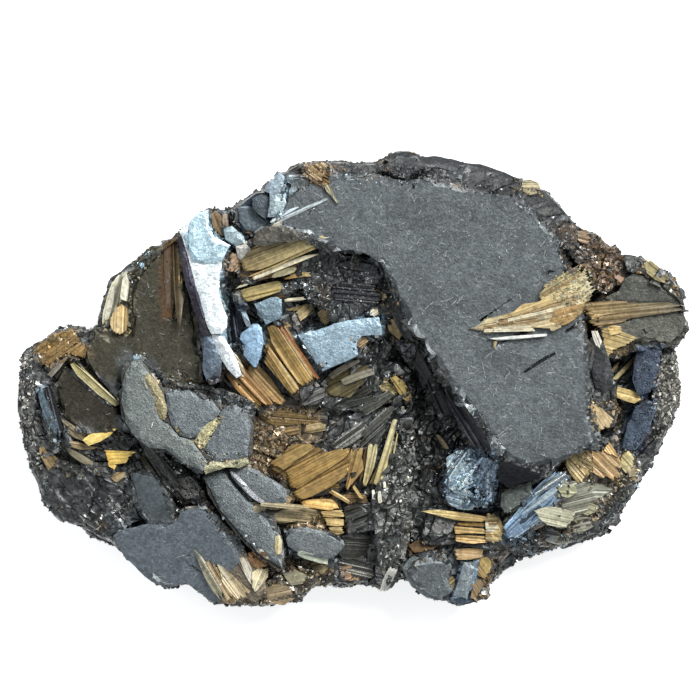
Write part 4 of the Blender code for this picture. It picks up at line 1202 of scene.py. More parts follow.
def right_spray(heap, plane):
    flat = ((482, 328), (560, 300))
    blade(heap, plane, [(468, 329), (478, 324), (484, 318), (500, 316), (520, 308), (544, 302), (564, 294),
                        (584, 290), (592, 298), (583, 308), (576, 316), (566, 321), (560, 328), (552, 332),
                        (541, 328), (520, 328), (500, 332), (486, 334), (476, 331)],
          ((470, 329), (575, 310)), (0.50, 0.43, 0.26), lift=0.1, fade=(0.54, 0.43, 0.25), ragged=0.3)
    blade(heap, plane, [(486, 320), (508, 315), (521, 304), (536, 302), (548, 296), (560, 300), (540, 308),
                        (516, 316), (500, 320)], flat, (0.46, 0.34, 0.16), lift=0.28,
          fade=(0.50, 0.38, 0.18))
    blade(heap, plane, [(520, 304), (536, 303), (538, 294), (543, 285), (556, 278), (570, 270), (578, 264),
                        (582, 272), (574, 288), (556, 298), (540, 304), (526, 308)],
          ((520, 306), (578, 270)), (0.42, 0.33, 0.16), lift=0.2, fade=(0.54, 0.46, 0.26), ragged=0.3)
    blade(heap, plane, [(556, 296), (572, 282), (584, 268), (589, 278), (595, 290), (588, 300), (572, 306),
                        (560, 304)], ((556, 302), (590, 284)), (0.50, 0.42, 0.24), lift=0.3,
          fade=(0.58, 0.52, 0.33), ragged=0.35)
    blade(heap, plane, [(552, 308), (576, 304), (590, 304), (584, 312), (570, 322), (562, 326), (548, 322)],
          ((548, 316), (588, 306)), (0.36, 0.23, 0.09), lift=0.22, fade=(0.42, 0.27, 0.11))
    blade(heap, plane, [(484, 338), (500, 337), (520, 335), (548, 333), (548, 336), (520, 339), (498, 341)],
          ((484, 339), (548, 335)), (0.68, 0.69, 0.64), lift=0.16, contrast=0.12)
    blade(heap, plane, [(492, 340), (497, 341), (494, 350), (491, 349)], ((494, 341), (493, 350)), STRAW,
          lift=0.05)
    fan(heap, plane, [(480, 331), (484, 325)], [(545, 330), (570, 318), (584, 300)], 18, 0.26,
        (STRAW, PALE, PALE, TAN), lift=0.30, ragged=0.45, roll=12.0)
    fan(heap, plane, [(530, 312), (545, 294)], [(586, 296), (584, 268)], 16, 0.28, (STRAW, PALE, TAN, OCHRE),
        lift=0.42, ragged=0.5, roll=24.0)


def east_band(heap, plane):
    right = ((583, 314), (682, 305))
    blade(heap, plane, [(583, 303), (600, 301), (614, 300), (640, 303), (664, 302), (684, 305), (682, 311),
                        (656, 315), (640, 318), (614, 324), (596, 328), (585, 322)], right,
          (0.330, 0.228, 0.098), lift=0.02, fade=(0.138, 0.122, 0.086), ragged=0.35, contrast=0.15)
    blade(heap, plane, [(586, 306), (612, 303), (640, 304), (670, 304), (640, 309), (612, 314), (590, 320)],
          right, (0.40, 0.285, 0.125), lift=0.05, fade=(0.190, 0.160, 0.098), ragged=0.3, contrast=0.25)


def east_steps(heap, plane):
    blade(heap, plane, [(600, 328), (612, 325), (620, 326), (624, 333), (631, 336), (639, 337), (629, 344),
                        (615, 350), (608, 357), (603, 351)], ((602, 332), (634, 342)), (0.40, 0.29, 0.12),
          lift=0.1, fade=(0.50, 0.40, 0.20))
    blade(heap, plane, [(590, 330), (597, 330), (602, 342), (600, 350), (594, 344)],
          ((592, 331), (599, 348)), (0.60, 0.58, 0.50), lift=0.35, contrast=0.12)
    blade(heap, plane, [(606, 328), (620, 327), (622, 333), (608, 336)], ((606, 332), (622, 330)),
          (0.50, 0.38, 0.17), lift=0.3)


def bar(heap, plane):
    blade(heap, plane, [(610, 385), (625, 388), (640, 392), (641, 400), (634, 404), (620, 399), (609, 394)],
          ((610, 389), (640, 397)), (0.74, 0.56, 0.24), lift=0.55, contrast=0.08, ragged=0.02, camber=0.15)


def southeast_fan(heap, plane):
    blade(heap, plane, [(563, 462), (571, 449), (580, 447), (590, 450), (596, 460), (594, 472), (588, 478),
                        (579, 485), (571, 476)], ((566, 452), (590, 480)), (0.46, 0.37, 0.17), lift=0.1,
          fade=(0.42, 0.31, 0.13), ragged=0.25, contrast=0.15)
    blade(heap, plane, [(590, 450), (599, 451), (604, 446), (608, 440), (614, 449), (621, 460), (621, 478),
                        (613, 481), (600, 478), (592, 472)], ((592, 452), (618, 478)), (0.40, 0.26, 0.11),
          lift=0.25, fade=(0.48, 0.32, 0.15), ragged=0.25, contrast=0.15)
    blade(heap, plane, [(603, 450), (608, 441), (613, 447), (619, 458), (610, 456)],
          ((606, 444), (616, 458)), (0.58, 0.38, 0.15), lift=0.42)
    fan(heap, plane, [(572, 470), (582, 450)], [(592, 482), (618, 468)], 6, 0.22, (TAN, TAN, STRAW),
        lift=0.25, ragged=0.5, roll=22.0)


def south_sheaf(heap, plane):
    right = ((456, 540), (492, 543))
    blade(heap, plane, [(420, 511), (437, 509), (454, 511), (472, 514), (489, 517), (484, 522), (460, 521),
                        (438, 516)], ((420, 511), (489, 519)), (0.46, 0.38, 0.16), lift=0.3,
          fade=(0.56, 0.38, 0.15))
    blade(heap, plane, [(457, 522), (486, 523), (490, 527), (458, 526)], right, (0.34, 0.22, 0.08), lift=0.0)
    blade(heap, plane, [(453, 526), (470, 527), (486, 529), (488, 534), (470, 533), (455, 534)], right,
          (0.42, 0.28, 0.10), lift=0.2, fade=(0.46, 0.32, 0.13))
    blade(heap, plane, [(455, 535), (486, 536), (488, 543), (470, 544), (455, 541)], right,
          (0.40, 0.26, 0.09), lift=0.05, fade=(0.46, 0.32, 0.13))
    blade(heap, plane, [(454, 549), (470, 548), (484, 549), (484, 558), (468, 560), (455, 560)], right,
          (0.40, 0.27, 0.13), lift=0.0, fade=(0.37, 0.25, 0.12))
    blade(heap, plane, [(485, 514), (492, 512), (500, 518), (505, 530), (504, 540), (496, 545), (488, 541),
                        (486, 527)], ((487, 520), (500, 540)), (0.50, 0.38, 0.18), lift=0.25, ragged=0.3)
    fan(heap, plane, [(484, 540), (484, 516)], [(504, 542), (498, 514)], 9, 0.3, (STRAW, PALE, OCHRE),
        lift=0.4, ragged=0.5, roll=25.0)


def west_blade(heap, plane):
    blade(heap, plane, [(70, 364), (77, 361), (84, 370), (98, 382), (110, 392), (120, 404), (116, 407),
                        (100, 396), (86, 384), (76, 374)], ((72, 363), (118, 405)), (0.42, 0.37, 0.17),
          lift=0.95, fade=(0.36, 0.32, 0.17), ragged=0.05, contrast=0.2)


def west_flake_1(heap, plane):
    blade(heap, plane, [(82, 440), (90, 434), (100, 430), (118, 428), (110, 436), (98, 443), (88, 446)],
          ((84, 441), (118, 429)), (0.86, 0.66, 0.24), lift=0.80, fade=(0.88, 0.64, 0.18), contrast=0.14,
          ragged=0.05)


def west_flake_2(heap, plane):
    blade(heap, plane, [(103, 450), (118, 451), (138, 451), (130, 458), (124, 466), (118, 464), (114, 470),
                        (108, 466), (106, 458)], ((105, 454), (134, 453)), (0.90, 0.58, 0.13), lift=1.05,
          fade=(0.92, 0.70, 0.22), contrast=0.16)


def northwest_bundle(heap, plane):
    upward = ((108, 330), (124, 270))
    blade(heap, plane, [(101, 326), (103, 310), (108, 291), (113, 279), (122, 270), (128, 269), (132, 280),
                        (132, 304), (124, 308), (112, 322), (108, 329)], upward, (0.46, 0.44, 0.32),
          lift=1.2, fade=(0.58, 0.56, 0.44), ragged=0.3, contrast=0.5)
    # the next two narrow pale blades are painted highlights
    blade(heap, plane, [(104, 322), (106, 306), (112, 286), (116, 281), (114, 300), (109, 320)], upward,
          (0.62, 0.60, 0.48), lift=1.35, contrast=0.3)
    blade(heap, plane, [(118, 298), (122, 276), (127, 271), (130, 284), (129, 300)],
          ((122, 298), (127, 272)), (0.62, 0.58, 0.44), lift=1.35, contrast=0.35)
    blade(heap, plane, [(111, 317), (116, 308), (119, 301), (125, 303), (131, 312), (131, 328), (127, 334),
                        (113, 333)], ((121, 302), (121, 334)), (0.50, 0.34, 0.15), lift=1.3,
          fade=(0.54, 0.40, 0.21), contrast=0.2)


def north_patch(heap, plane):
    blade(heap, plane, [(302, 166), (318, 160), (330, 168), (330, 184), (318, 186), (306, 178)],
          ((304, 166), (328, 184)), (0.32, 0.23, 0.12), lift=0.0, fade=(0.26, 0.19, 0.10), ragged=0.6,
          contrast=0.3)
    blade(heap, plane, [(322, 182), (330, 186), (340, 206), (336, 204), (326, 192)],
          ((324, 182), (338, 206)), (0.30, 0.26, 0.14), lift=0.10, fade=(0.26, 0.25, 0.17), ragged=0.3)
    fan(heap, plane, [(306, 178), (312, 164)], [(326, 190), (334, 180)], 8, 0.22, (OCHRE, BROWN, TAN),
        lift=0.1, ragged=0.6, roll=30.0)


def southwest_blades(heap, plane):
    blade(heap, plane, [(192, 547), (198, 552), (210, 566), (220, 578), (228, 590), (231, 599), (220, 600),
                        (210, 588), (203, 574)], ((193, 547), (224, 599)), (0.22, 0.22, 0.17), lift=0.1,
          fade=(0.30, 0.28, 0.18), ragged=0.3)
    blade(heap, plane, [(216, 561), (228, 570), (240, 581), (251, 591), (247, 600), (238, 601), (229, 595),
                        (221, 580)], ((218, 562), (246, 600)), (0.28, 0.25, 0.15), lift=0.13,
          fade=(0.38, 0.29, 0.16), ragged=0.3)
    fan(heap, plane, [(198, 552), (220, 568)], [(224, 600), (244, 600)], 7, 0.26, (OLIVE, TAN, TAN),
        lift=0.05, ragged=0.5)


# Each sheaf of the CAD part, its finish, and the function that lays its blades.
SHEAVES = {
    "upper_fan": ("gold", upper_fan),
    "upper_blades": ("gold", upper_blades),
    "amber_bundle": ("amber", amber_bundle),
    "centre_sheaf": ("amber", centre_sheaf),
    "centre_boards": ("gold", centre_boards),
    "needles": ("gold", needles),
    "lower_boards": ("gold", lower_boards),
    "right_spray": ("gold", right_spray),
    "east_band": ("gold", east_band),
    "east_steps": ("gold", east_steps),
    "bar": ("gold", bar),
    "southeast_fan": ("straw", southeast_fan),
    "south_sheaf": ("amber", south_sheaf),
    "west_blade": ("straw", west_blade),
    "west_flake_1": ("gold", west_flake_1),
    "west_flake_2": ("gold", west_flake_2),
    "northwest_bundle": ("amber", northwest_bundle),
    "north_patch": ("amber", north_patch),
    "southwest_blades": ("straw", southwest_blades),
}


SHEAF_SEED = 100


def sheaves():
    """One piece of blades for each sheaf of the CAD part."""
    for seed, (name, (kind, lay)) in enumerate(SHEAVES.items()):
        node_name = "rutile_" + name
        heap = Heap(seed + SHEAF_SEED)
        lay(heap, cad_top(node_name))
        piece = heap.piece(name, FINISHES[kind], "rutile_" + kind)
        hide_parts(node_name)


# ---- more crystals on the stone -----------------------------------------------------------------

LEVEL = (0.0, 0.0)
DIAGONAL = (-0.06, -0.10)  # the slope of the diagonal plates
# Groups of plates that were one crystal and still lie in one plane.
BEDS_PX = {
    "diagonals": [(122, 364), (140, 357), (160, 386), (180, 388), (222, 404), (244, 408), (254, 424),
                  (253, 455), (236, 463), (212, 467), (200, 470), (160, 448), (136, 434), (122, 412)],
    "south_diagonals": [(204, 472), (228, 466), (250, 465), (290, 490), (288, 508), (274, 514), (285, 556),
                        (283, 570), (262, 560), (240, 538), (222, 516), (208, 494)],
}
# Flat crystals that stand out: outline, colour, tilt, lift, and the run of the streaks, if there are any.
# A tilt is a slope along X and Y, the name of a bed, or None where the crystal follows the stone.
PLATES_PX = [
    # dark sheets under the diagonal plates: painted shade in the cracks between them
    (BEDS_PX["diagonals"], (0.040, 0.040, 0.038), "diagonals", -0.1, None),
    (BEDS_PX["south_diagonals"], (0.040, 0.040, 0.038), "south_diagonals", -0.1, None),
    # the diagonal plates
    ([(122, 402), (123, 384), (126, 372), (132, 362), (138, 357), (142, 362), (151, 376), (157, 396),
      (161, 419), (163, 421), (172, 428), (180, 437), (193, 441), (208, 462), (203, 471), (194, 467),
      (178, 458), (166, 449), (150, 447), (137, 438), (128, 424)], (0.088, 0.100, 0.098), "diagonals", 0.12,
     None),
    ([(166, 393), (178, 391), (190, 390), (200, 397), (212, 400), (221, 412), (215, 419), (206, 425),
      (200, 437), (190, 438), (180, 435), (172, 425), (168, 412)], (0.082, 0.095, 0.101), "diagonals", 0.12,
     None),
    ([(220, 414), (226, 406), (236, 405), (247, 410), (251, 424), (250, 440), (248, 457), (236, 460),
      (216, 462), (205, 450), (211, 438), (217, 428)], (0.080, 0.092, 0.099), "diagonals", 0.10, None),
    ([(203, 467), (212, 461), (222, 462), (238, 459), (248, 457), (250, 463), (240, 468), (226, 467),
      (214, 471), (206, 474)], (0.185, 0.180, 0.120), "diagonals", 0.10, ((205, 468), (248, 460))),
    ([(140, 371), (150, 374), (157, 382), (164, 394), (168, 410), (165, 420), (160, 419), (154, 402),
      (148, 388)], (0.140, 0.124, 0.074), "diagonals", 0.135, ((146, 374), (163, 418))),
    ([(137, 370), (142, 370), (149, 386), (156, 402), (161, 420), (156, 418), (148, 402), (141, 386)],
     (0.100, 0.100, 0.084), "diagonals", 0.128, ((140, 371), (158, 418))),
    ([(195, 441), (201, 431), (208, 423), (217, 417), (221, 418), (217, 428), (211, 438), (205, 448),
      (199, 448)], (0.205, 0.190, 0.110), "diagonals", 0.15, ((200, 447), (218, 420))),
    ([(204, 477), (213, 471), (223, 470), (240, 492), (255, 510), (268, 521), (278, 540), (283, 556),
      (282, 568), (265, 558), (243, 536), (222, 512)], (0.075, 0.086, 0.090), "south_diagonals", 0.12, None),
    ([(229, 469), (242, 466), (255, 469), (270, 478), (287, 490), (287, 502), (268, 507), (252, 498),
      (236, 482)], (0.076, 0.086, 0.091), "south_diagonals", 0.70, None),
    # a pale strip along the edge of the plate above it: a painted highlight
    ([(230, 471), (234, 472), (248, 486), (262, 499), (274, 507), (268, 508), (254, 499), (242, 487)],
     (0.210, 0.220, 0.235), "south_diagonals", 0.74, None),
    ([(133, 474), (146, 475), (155, 478), (160, 486), (166, 496), (172, 506), (176, 524), (168, 534),
      (150, 530), (145, 514), (138, 502), (136, 488)], (0.142, 0.168, 0.182), (0.05, 0.20), 0.0, None),
    # the south-west plate
    ([(113, 536), (122, 530), (136, 527), (150, 524), (166, 527), (177, 521), (181, 512), (192, 508),
      (205, 511), (214, 521), (228, 538), (238, 551), (240, 562), (230, 572), (226, 590), (220, 601),
      (208, 600), (196, 590), (186, 583), (176, 586), (165, 587), (152, 582), (140, 572), (126, 558),
      (116, 545)], (0.180, 0.208, 0.232), None, 0.2, None),
    # a thin ledge on the north rim
    ([(384, 160), (392, 154), (404, 152), (414, 153), (422, 158), (434, 156), (452, 159), (470, 164),
      (480, 164), (492, 168), (510, 175), (524, 182), (540, 191), (546, 200), (536, 198), (520, 190),
      (500, 186), (480, 180), (460, 173), (440, 168), (410, 165), (394, 164)], (0.062, 0.066, 0.069), None,
     -0.12, None),
    # striated stone above the fan
    ([(254, 238), (258, 232), (266, 227), (278, 227), (290, 229), (302, 234), (312, 238), (296, 242),
      (280, 243), (264, 247), (254, 245)], (0.090, 0.086, 0.074), LEVEL, 0.3, ((256, 242), (310, 237))),
    # the mirrors, their pale blue a painted reflection
    ([(298, 335), (309, 332), (328, 327), (342, 322), (371, 318), (379, 317), (382, 335), (372, 335),
      (362, 336), (357, 342), (358, 355), (344, 362), (332, 367), (323, 371), (317, 364), (309, 350)],
     (0.300, 0.405, 0.480), LEVEL, 0.3, None),
    ([(254, 304), (265, 300), (277, 297), (282, 300), (282, 314), (280, 319), (266, 325), (261, 314)],
     (0.195, 0.270, 0.315), LEVEL, 0.35, None),
    ([(241, 335), (243, 332), (249, 328), (253, 324), (258, 324), (262, 328), (263, 337), (264, 342),
      (261, 355), (257, 367), (254, 367), (244, 355), (245, 345), (240, 339)], (0.285, 0.425, 0.570), LEVEL,
     0.35, None),
    ([(237, 305), (244, 305), (247, 314), (250, 322), (251, 326), (247, 327), (244, 321), (241, 312)],
     (0.26, 0.32, 0.36), LEVEL, 0.3, None),
    # the bright shard, its pale blue and white a painted reflection, with its dark edge and its foot
    ([(180, 232), (188, 221), (198, 214), (209, 210), (209, 226), (215, 238), (231, 246), (222, 262),
      (220, 276), (219, 292), (223, 305), (228, 318), (227, 328), (222, 334), (212, 334), (206, 320),
      (201, 300), (195, 280), (190, 262), (185, 245)], (0.800, 0.880, 0.910), LEVEL, 0.30,
     ((190, 222), (212, 330))),
    ([(191, 222), (198, 215), (209, 211), (209, 226), (215, 238), (231, 246), (222, 262), (206, 264),
      (194, 262), (189, 244)], (0.490, 0.660, 0.740), LEVEL, 0.38, ((196, 216), (206, 262))),
    ([(206, 240), (216, 240), (229, 247), (221, 261), (208, 262)], (0.360, 0.530, 0.650), LEVEL, 0.42,
     ((208, 240), (214, 262))),
    ([(190, 247), (197, 248), (199, 260), (193, 261)], (0.400, 0.560, 0.660), LEVEL, 0.42, None),
    ([(200, 212), (209, 210), (209, 215), (202, 216)], (0.250, 0.320, 0.380), LEVEL, 0.42, None),
    ([(207, 276), (216, 274), (218, 288), (209, 290)], (0.620, 0.720, 0.720), LEVEL, 0.36, None),
    ([(212, 334), (225, 337), (231, 348), (238, 362), (242, 375), (237, 378), (228, 369), (220, 357),
      (214, 345)], (0.740, 0.800, 0.830), LEVEL, 0.42, ((218, 336), (236, 376))),
    ([(204, 334), (211, 335), (217, 350), (223, 361), (217, 372), (207, 380), (203, 366)],
     (0.105, 0.135, 0.170), LEVEL, 0.25, ((206, 338), (214, 380))),
    ([(211, 338), (215, 346), (221, 360), (215, 366), (211, 352)], (0.200, 0.260, 0.320), LEVEL, 0.30, None),
    # the shard's left side, which lies in shade, as dark strips: painted shade
    ([(178, 236), (182, 237), (191, 264), (201, 297), (209, 322), (211, 335), (203, 336), (197, 318),
      (190, 296), (183, 270)], (0.050, 0.047, 0.060), LEVEL, 0.1, ((180, 240), (206, 334))),
    ([(188, 262), (193, 276), (201, 300), (207, 318), (204, 318), (197, 298), (190, 276)],
     (0.115, 0.112, 0.155), LEVEL, 0.24, ((188, 250), (205, 314))),
    # the north-west corner; its pale blue facets are painted reflection
    ([(264, 192), (270, 182), (280, 172), (285, 178), (284, 190), (288, 198), (286, 210), (280, 217),
      (268, 218), (270, 206), (270, 194)], (0.300, 0.370, 0.420), LEVEL, 0.25, ((268, 214), (282, 178))),
    ([(270, 206), (276, 196), (284, 194), (287, 204), (282, 214), (272, 216)], (0.42, 0.52, 0.55), LEVEL,
     0.3, ((272, 214), (282, 194))),
    ([(253, 199), (264, 194), (270, 198), (270, 210), (266, 220), (258, 214), (253, 208)],
     (0.095, 0.115, 0.130), LEVEL, 0.3, None),
    ([(238, 208), (246, 206), (253, 208), (258, 216), (266, 222), (268, 226), (258, 232), (246, 230),
      (240, 222)], (0.150, 0.185, 0.205), LEVEL, 0.3, None),
    ([(255, 219), (260, 216), (262, 222), (258, 224)], BLACK_AND_SHADE, LEVEL, 0.34, None),
    ([(254, 233), (262, 226), (270, 228), (264, 238)], (0.22, 0.245, 0.25), LEVEL, 0.3, None),
    ([(224, 230), (232, 226), (244, 236), (246, 246), (236, 247), (226, 240)], (0.30, 0.38, 0.41), LEVEL,
     0.35, ((226, 232), (244, 244))),
    ([(236, 247), (246, 244), (252, 250), (244, 262), (238, 258)], (0.55, 0.54, 0.50), LEVEL, 0.3, None),
    # the south
    ([(286, 539), (292, 530), (306, 526), (321, 530), (332, 535), (343, 540), (345, 545), (333, 558),
      (326, 559), (300, 554), (288, 546)], (0.165, 0.182, 0.190), LEVEL, 0.08, None),
    ([(402, 568), (412, 556), (428, 558), (444, 553), (452, 566), (447, 578), (453, 590), (440, 600),
      (426, 597), (412, 587)], (0.126, 0.144, 0.151), LEVEL, -0.1, None),
    ([(464, 562), (475, 562), (472, 579), (467, 599), (453, 596), (458, 582)], (0.205, 0.240, 0.255), LEVEL,
     0.2, ((470, 562), (460, 598))),
    ([(498, 461), (507, 461), (523, 467), (535, 472), (540, 474), (538, 478), (523, 481), (508, 487),
      (500, 481), (496, 470)], (0.022, 0.023, 0.027), (0.10, 0.12), 0.3, None),
    ([(532, 480), (529, 494), (516, 506), (507, 513), (500, 506), (501, 493), (513, 487)],
     (0.125, 0.143, 0.132), (-0.05, 0.0), 0.2, ((530, 482), (506, 512))),
    ([(501, 494), (507, 490), (514, 504), (510, 511), (504, 512)], (0.215, 0.250, 0.200), (-0.05, 0.0), 0.35,
     None),
    # the east
    ([(636, 348), (648, 344), (661, 348), (658, 368), (650, 392), (638, 396), (632, 380)],
     (0.066, 0.084, 0.116), LEVEL, 0.1, ((640, 394), (654, 350))),
    ([(622, 448), (627, 424), (636, 406), (651, 402), (656, 410), (648, 432), (636, 450)],
     (0.075, 0.098, 0.135), LEVEL, 0.1, ((626, 444), (648, 406))),
    ([(590, 338), (600, 337), (606, 352), (612, 372), (613, 386), (604, 392), (595, 388), (590, 370),
      (587, 352)], (0.050, 0.053, 0.056), LEVEL, 0.2, ((596, 338), (602, 390))),
    ([(604, 298), (618, 291), (624, 279), (634, 273), (646, 277), (660, 285), (674, 291), (682, 300),
      (684, 305), (640, 304), (612, 303)], (0.088, 0.090, 0.079), LEVEL, 0.1, None),
]


CLEAR = 0.85  # a crystal with a tilt of its own clears this share of the stone below it


def hematite_plates(surface):
    """The crisp flat crystals that stand out on the stone."""
    heap = Heap(11)
    beds = {name: seat(surface, places(outline_px), CLEAR, DIAGONAL) for name, outline_px in BEDS_PX.items()}
    for outline_px, tone, tilt, lift, streak_px in PLATES_PX:
        if tilt in beds:
            plane = beds[tilt]
        elif tilt:
            plane = seat(surface, places(outline_px), CLEAR, tilt)
        else:
            plane = seat(surface, places(outline_px))
        crystal_plate(heap, plane, outline_px, tone, lift, streak_px)
    heap.piece("hematite_plates", HEMATITE, "hematite")


# ---- loose pieces on the stone ------------------------------------------------------------------


def boards(heap, surface, table, contrast=0.28):
    """Striated chips lying on the stone, one for each row of a table."""
    for outline_px, run_px, tone, fade, lift in table:
        plane = seat(surface, places(outline_px))
        blade(heap, plane, outline_px, run_px, tone, lift=lift, fade=fade, thickness=0.5, ragged=0.1,
              contrast=contrast)


# Loose chips of rutile: outline, run of the ridges, colour at the root, colour at the tip, lift.
CENTRE_BOARDS_PX = [
    ([(286, 309), (299, 305), (312, 303), (315, 307), (314, 312), (308, 314), (302, 321), (291, 328),
      (286, 328), (284, 325), (290, 318), (298, 311), (287, 311)], ((286, 328), (313, 306)),
     (0.22, 0.15, 0.06), STRAW, 0.25),
    ([(317, 313), (322, 309), (330, 309), (335, 312), (336, 318), (330, 322), (325, 326), (320, 322)],
     ((318, 322), (334, 312)), (0.10, 0.075, 0.035), (0.16, 0.12, 0.06), 0.2),
    ([(256, 415), (274, 411), (281, 409), (292, 411), (311, 418), (325, 421), (319, 424), (304, 424),
      (288, 426), (275, 426), (263, 421)], ((258, 417), (322, 422)), (0.30, 0.20, 0.085), (0.22, 0.15, 0.06),
     0.35),
    ([(305, 425), (319, 422), (327, 424), (326, 431), (314, 433), (303, 433)], ((304, 430), (326, 426)), TAN,
     STRAW, 0.25),
    ([(286, 427), (300, 426), (301, 434), (290, 437), (283, 433)], ((284, 432), (300, 429)), OCHRE, TAN,
     0.15),
    ([(270, 464), (278, 458), (288, 466), (287, 480), (277, 481), (271, 474)], ((271, 478), (282, 460)),
     (0.46, 0.28, 0.13), (0.40, 0.27, 0.14), 0.1),
    ([(250, 502), (262, 501), (275, 504), (300, 506), (318, 510), (326, 518), (322, 524), (300, 522),
      (280, 524), (262, 518), (252, 512)], ((252, 505), (322, 518)), (0.36, 0.34, 0.22), (0.36, 0.27, 0.15),
     0.2),
    ([(252, 508), (256, 503), (272, 505), (288, 509), (308, 509), (322, 515), (328, 521), (322, 525),
      (304, 521), (284, 523), (268, 519), (256, 517)], ((254, 512), (326, 520)), (0.48, 0.43, 0.27),
     (0.42, 0.32, 0.18), 0.4),
    ([(262, 500), (278, 503), (300, 504), (312, 508), (298, 510), (278, 508), (260, 506)],
     ((262, 503), (310, 508)), (0.50, 0.43, 0.28), STRAW, 0.5),
    ([(275, 535), (280, 534), (283, 542), (282, 553), (277, 556), (274, 548)], ((279, 535), (278, 555)),
     (0.52, 0.48, 0.27), STRAW, 0.2),
    ([(297, 551), (301, 550), (319, 555), (330, 559), (328, 565), (314, 562), (297, 556)],
     ((298, 553), (328, 562)), (0.42, 0.47, 0.38), (0.52, 0.54, 0.42), 0.35),
    ([(390, 378), (396, 375), (402, 380), (407, 386), (412, 396), (409, 403), (402, 399), (398, 390),
      (392, 386)], ((392, 378), (408, 400)), (0.40, 0.31, 0.12), (0.34, 0.24, 0.09), 0.35),
    ([(378, 386), (386, 380), (394, 386), (398, 394), (392, 396), (384, 393)], ((379, 386), (396, 394)),
     (0.22, 0.18, 0.08), (0.34, 0.28, 0.13), 0.2),
    ([(386, 320), (392, 318), (405, 324), (404, 334), (400, 341), (395, 337), (388, 330)],
     ((393, 319), (400, 340)), (0.42, 0.33, 0.17), (0.30, 0.21, 0.10), 0.3),
    ([(389, 340), (393, 334), (396, 338), (394, 345), (390, 346)], ((391, 345), (394, 335)), WHITISH, PALE,
     0.4),
    ([(371, 490), (375, 489), (376, 499), (372, 500)], ((373, 490), (374, 500)), PALE, WHITISH, 0.5),
    ([(377, 491), (381, 490), (383, 503), (378, 504)], ((379, 491), (381, 503)), WHITISH, PALE, 0.5),
    ([(382, 482), (386, 480), (387, 488), (383, 490)], ((384, 481), (385, 489)), WHITISH, PALE, 0.4),
    ([(326, 376), (340, 366), (358, 358), (362, 362), (345, 370), (332, 380)], ((328, 377), (360, 360)),
     (0.22, 0.20, 0.16), (0.28, 0.26, 0.21), 0.45),
    ([(338, 380), (356, 372), (372, 368), (376, 374), (360, 380), (344, 386)], ((341, 383), (373, 371)),
     (0.20, 0.185, 0.13), (0.24, 0.22, 0.17), 0.45),
    ([(355, 337), (366, 335), (369, 341), (362, 349), (356, 347)], ((356, 346), (367, 338)),
     (0.17, 0.11, 0.06), TAN, 0.35),
    ([(325, 378), (345, 368), (370, 365), (362, 385), (350, 398), (330, 396), (322, 388)],
     ((326, 392), (366, 368)), (0.150, 0.125, 0.060), (0.17, 0.14, 0.075), 0.25),
    ([(294, 398), (304, 390), (324, 386), (326, 396), (318, 404), (302, 406)], ((296, 402), (324, 390)),
     (0.115, 0.115, 0.11), (0.15, 0.15, 0.145), 0.1),
]
NORTH_BOARDS_PX = [
    ([(209, 214), (215, 210), (222, 216), (226, 228), (224, 238), (218, 236), (212, 226)],
     ((212, 212), (222, 236)), (0.22, 0.15, 0.08), (0.30, 0.22, 0.13), 0.3),
    ([(222, 212), (228, 214), (229, 228), (226, 232), (222, 224)], ((224, 213), (227, 230)),
     (0.55, 0.48, 0.38), (0.24, 0.15, 0.08), 0.35),
    ([(226, 258), (234, 252), (242, 256), (242, 266), (236, 273), (228, 272), (224, 265)],
     ((226, 270), (240, 256)), (0.34, 0.24, 0.15), (0.42, 0.30, 0.20), 0.2),
    ([(270, 223), (273, 219), (326, 198), (329, 201), (300, 214), (274, 226)], ((272, 222), (328, 200)),
     (0.60, 0.68, 0.70), (0.50, 0.56, 0.58), 0.1),
    ([(278, 216), (281, 213), (298, 207), (300, 208), (284, 217)], ((279, 216), (299, 207)),
     (0.62, 0.72, 0.76), (0.50, 0.60, 0.66), 0.06),
    ([(270, 228), (276, 223), (284, 222), (283, 228), (276, 232)], ((270, 229), (284, 224)), PALE, WHITISH,
     0.12),
    ([(377, 292), (385, 290), (389, 296), (384, 302), (377, 300)], ((378, 300), (387, 292)), TAN, STRAW,
     0.2),
    ([(370, 309), (378, 308), (380, 314), (374, 318), (369, 315)], ((370, 316), (379, 310)), WHITISH, STRAW,
     0.25),
]
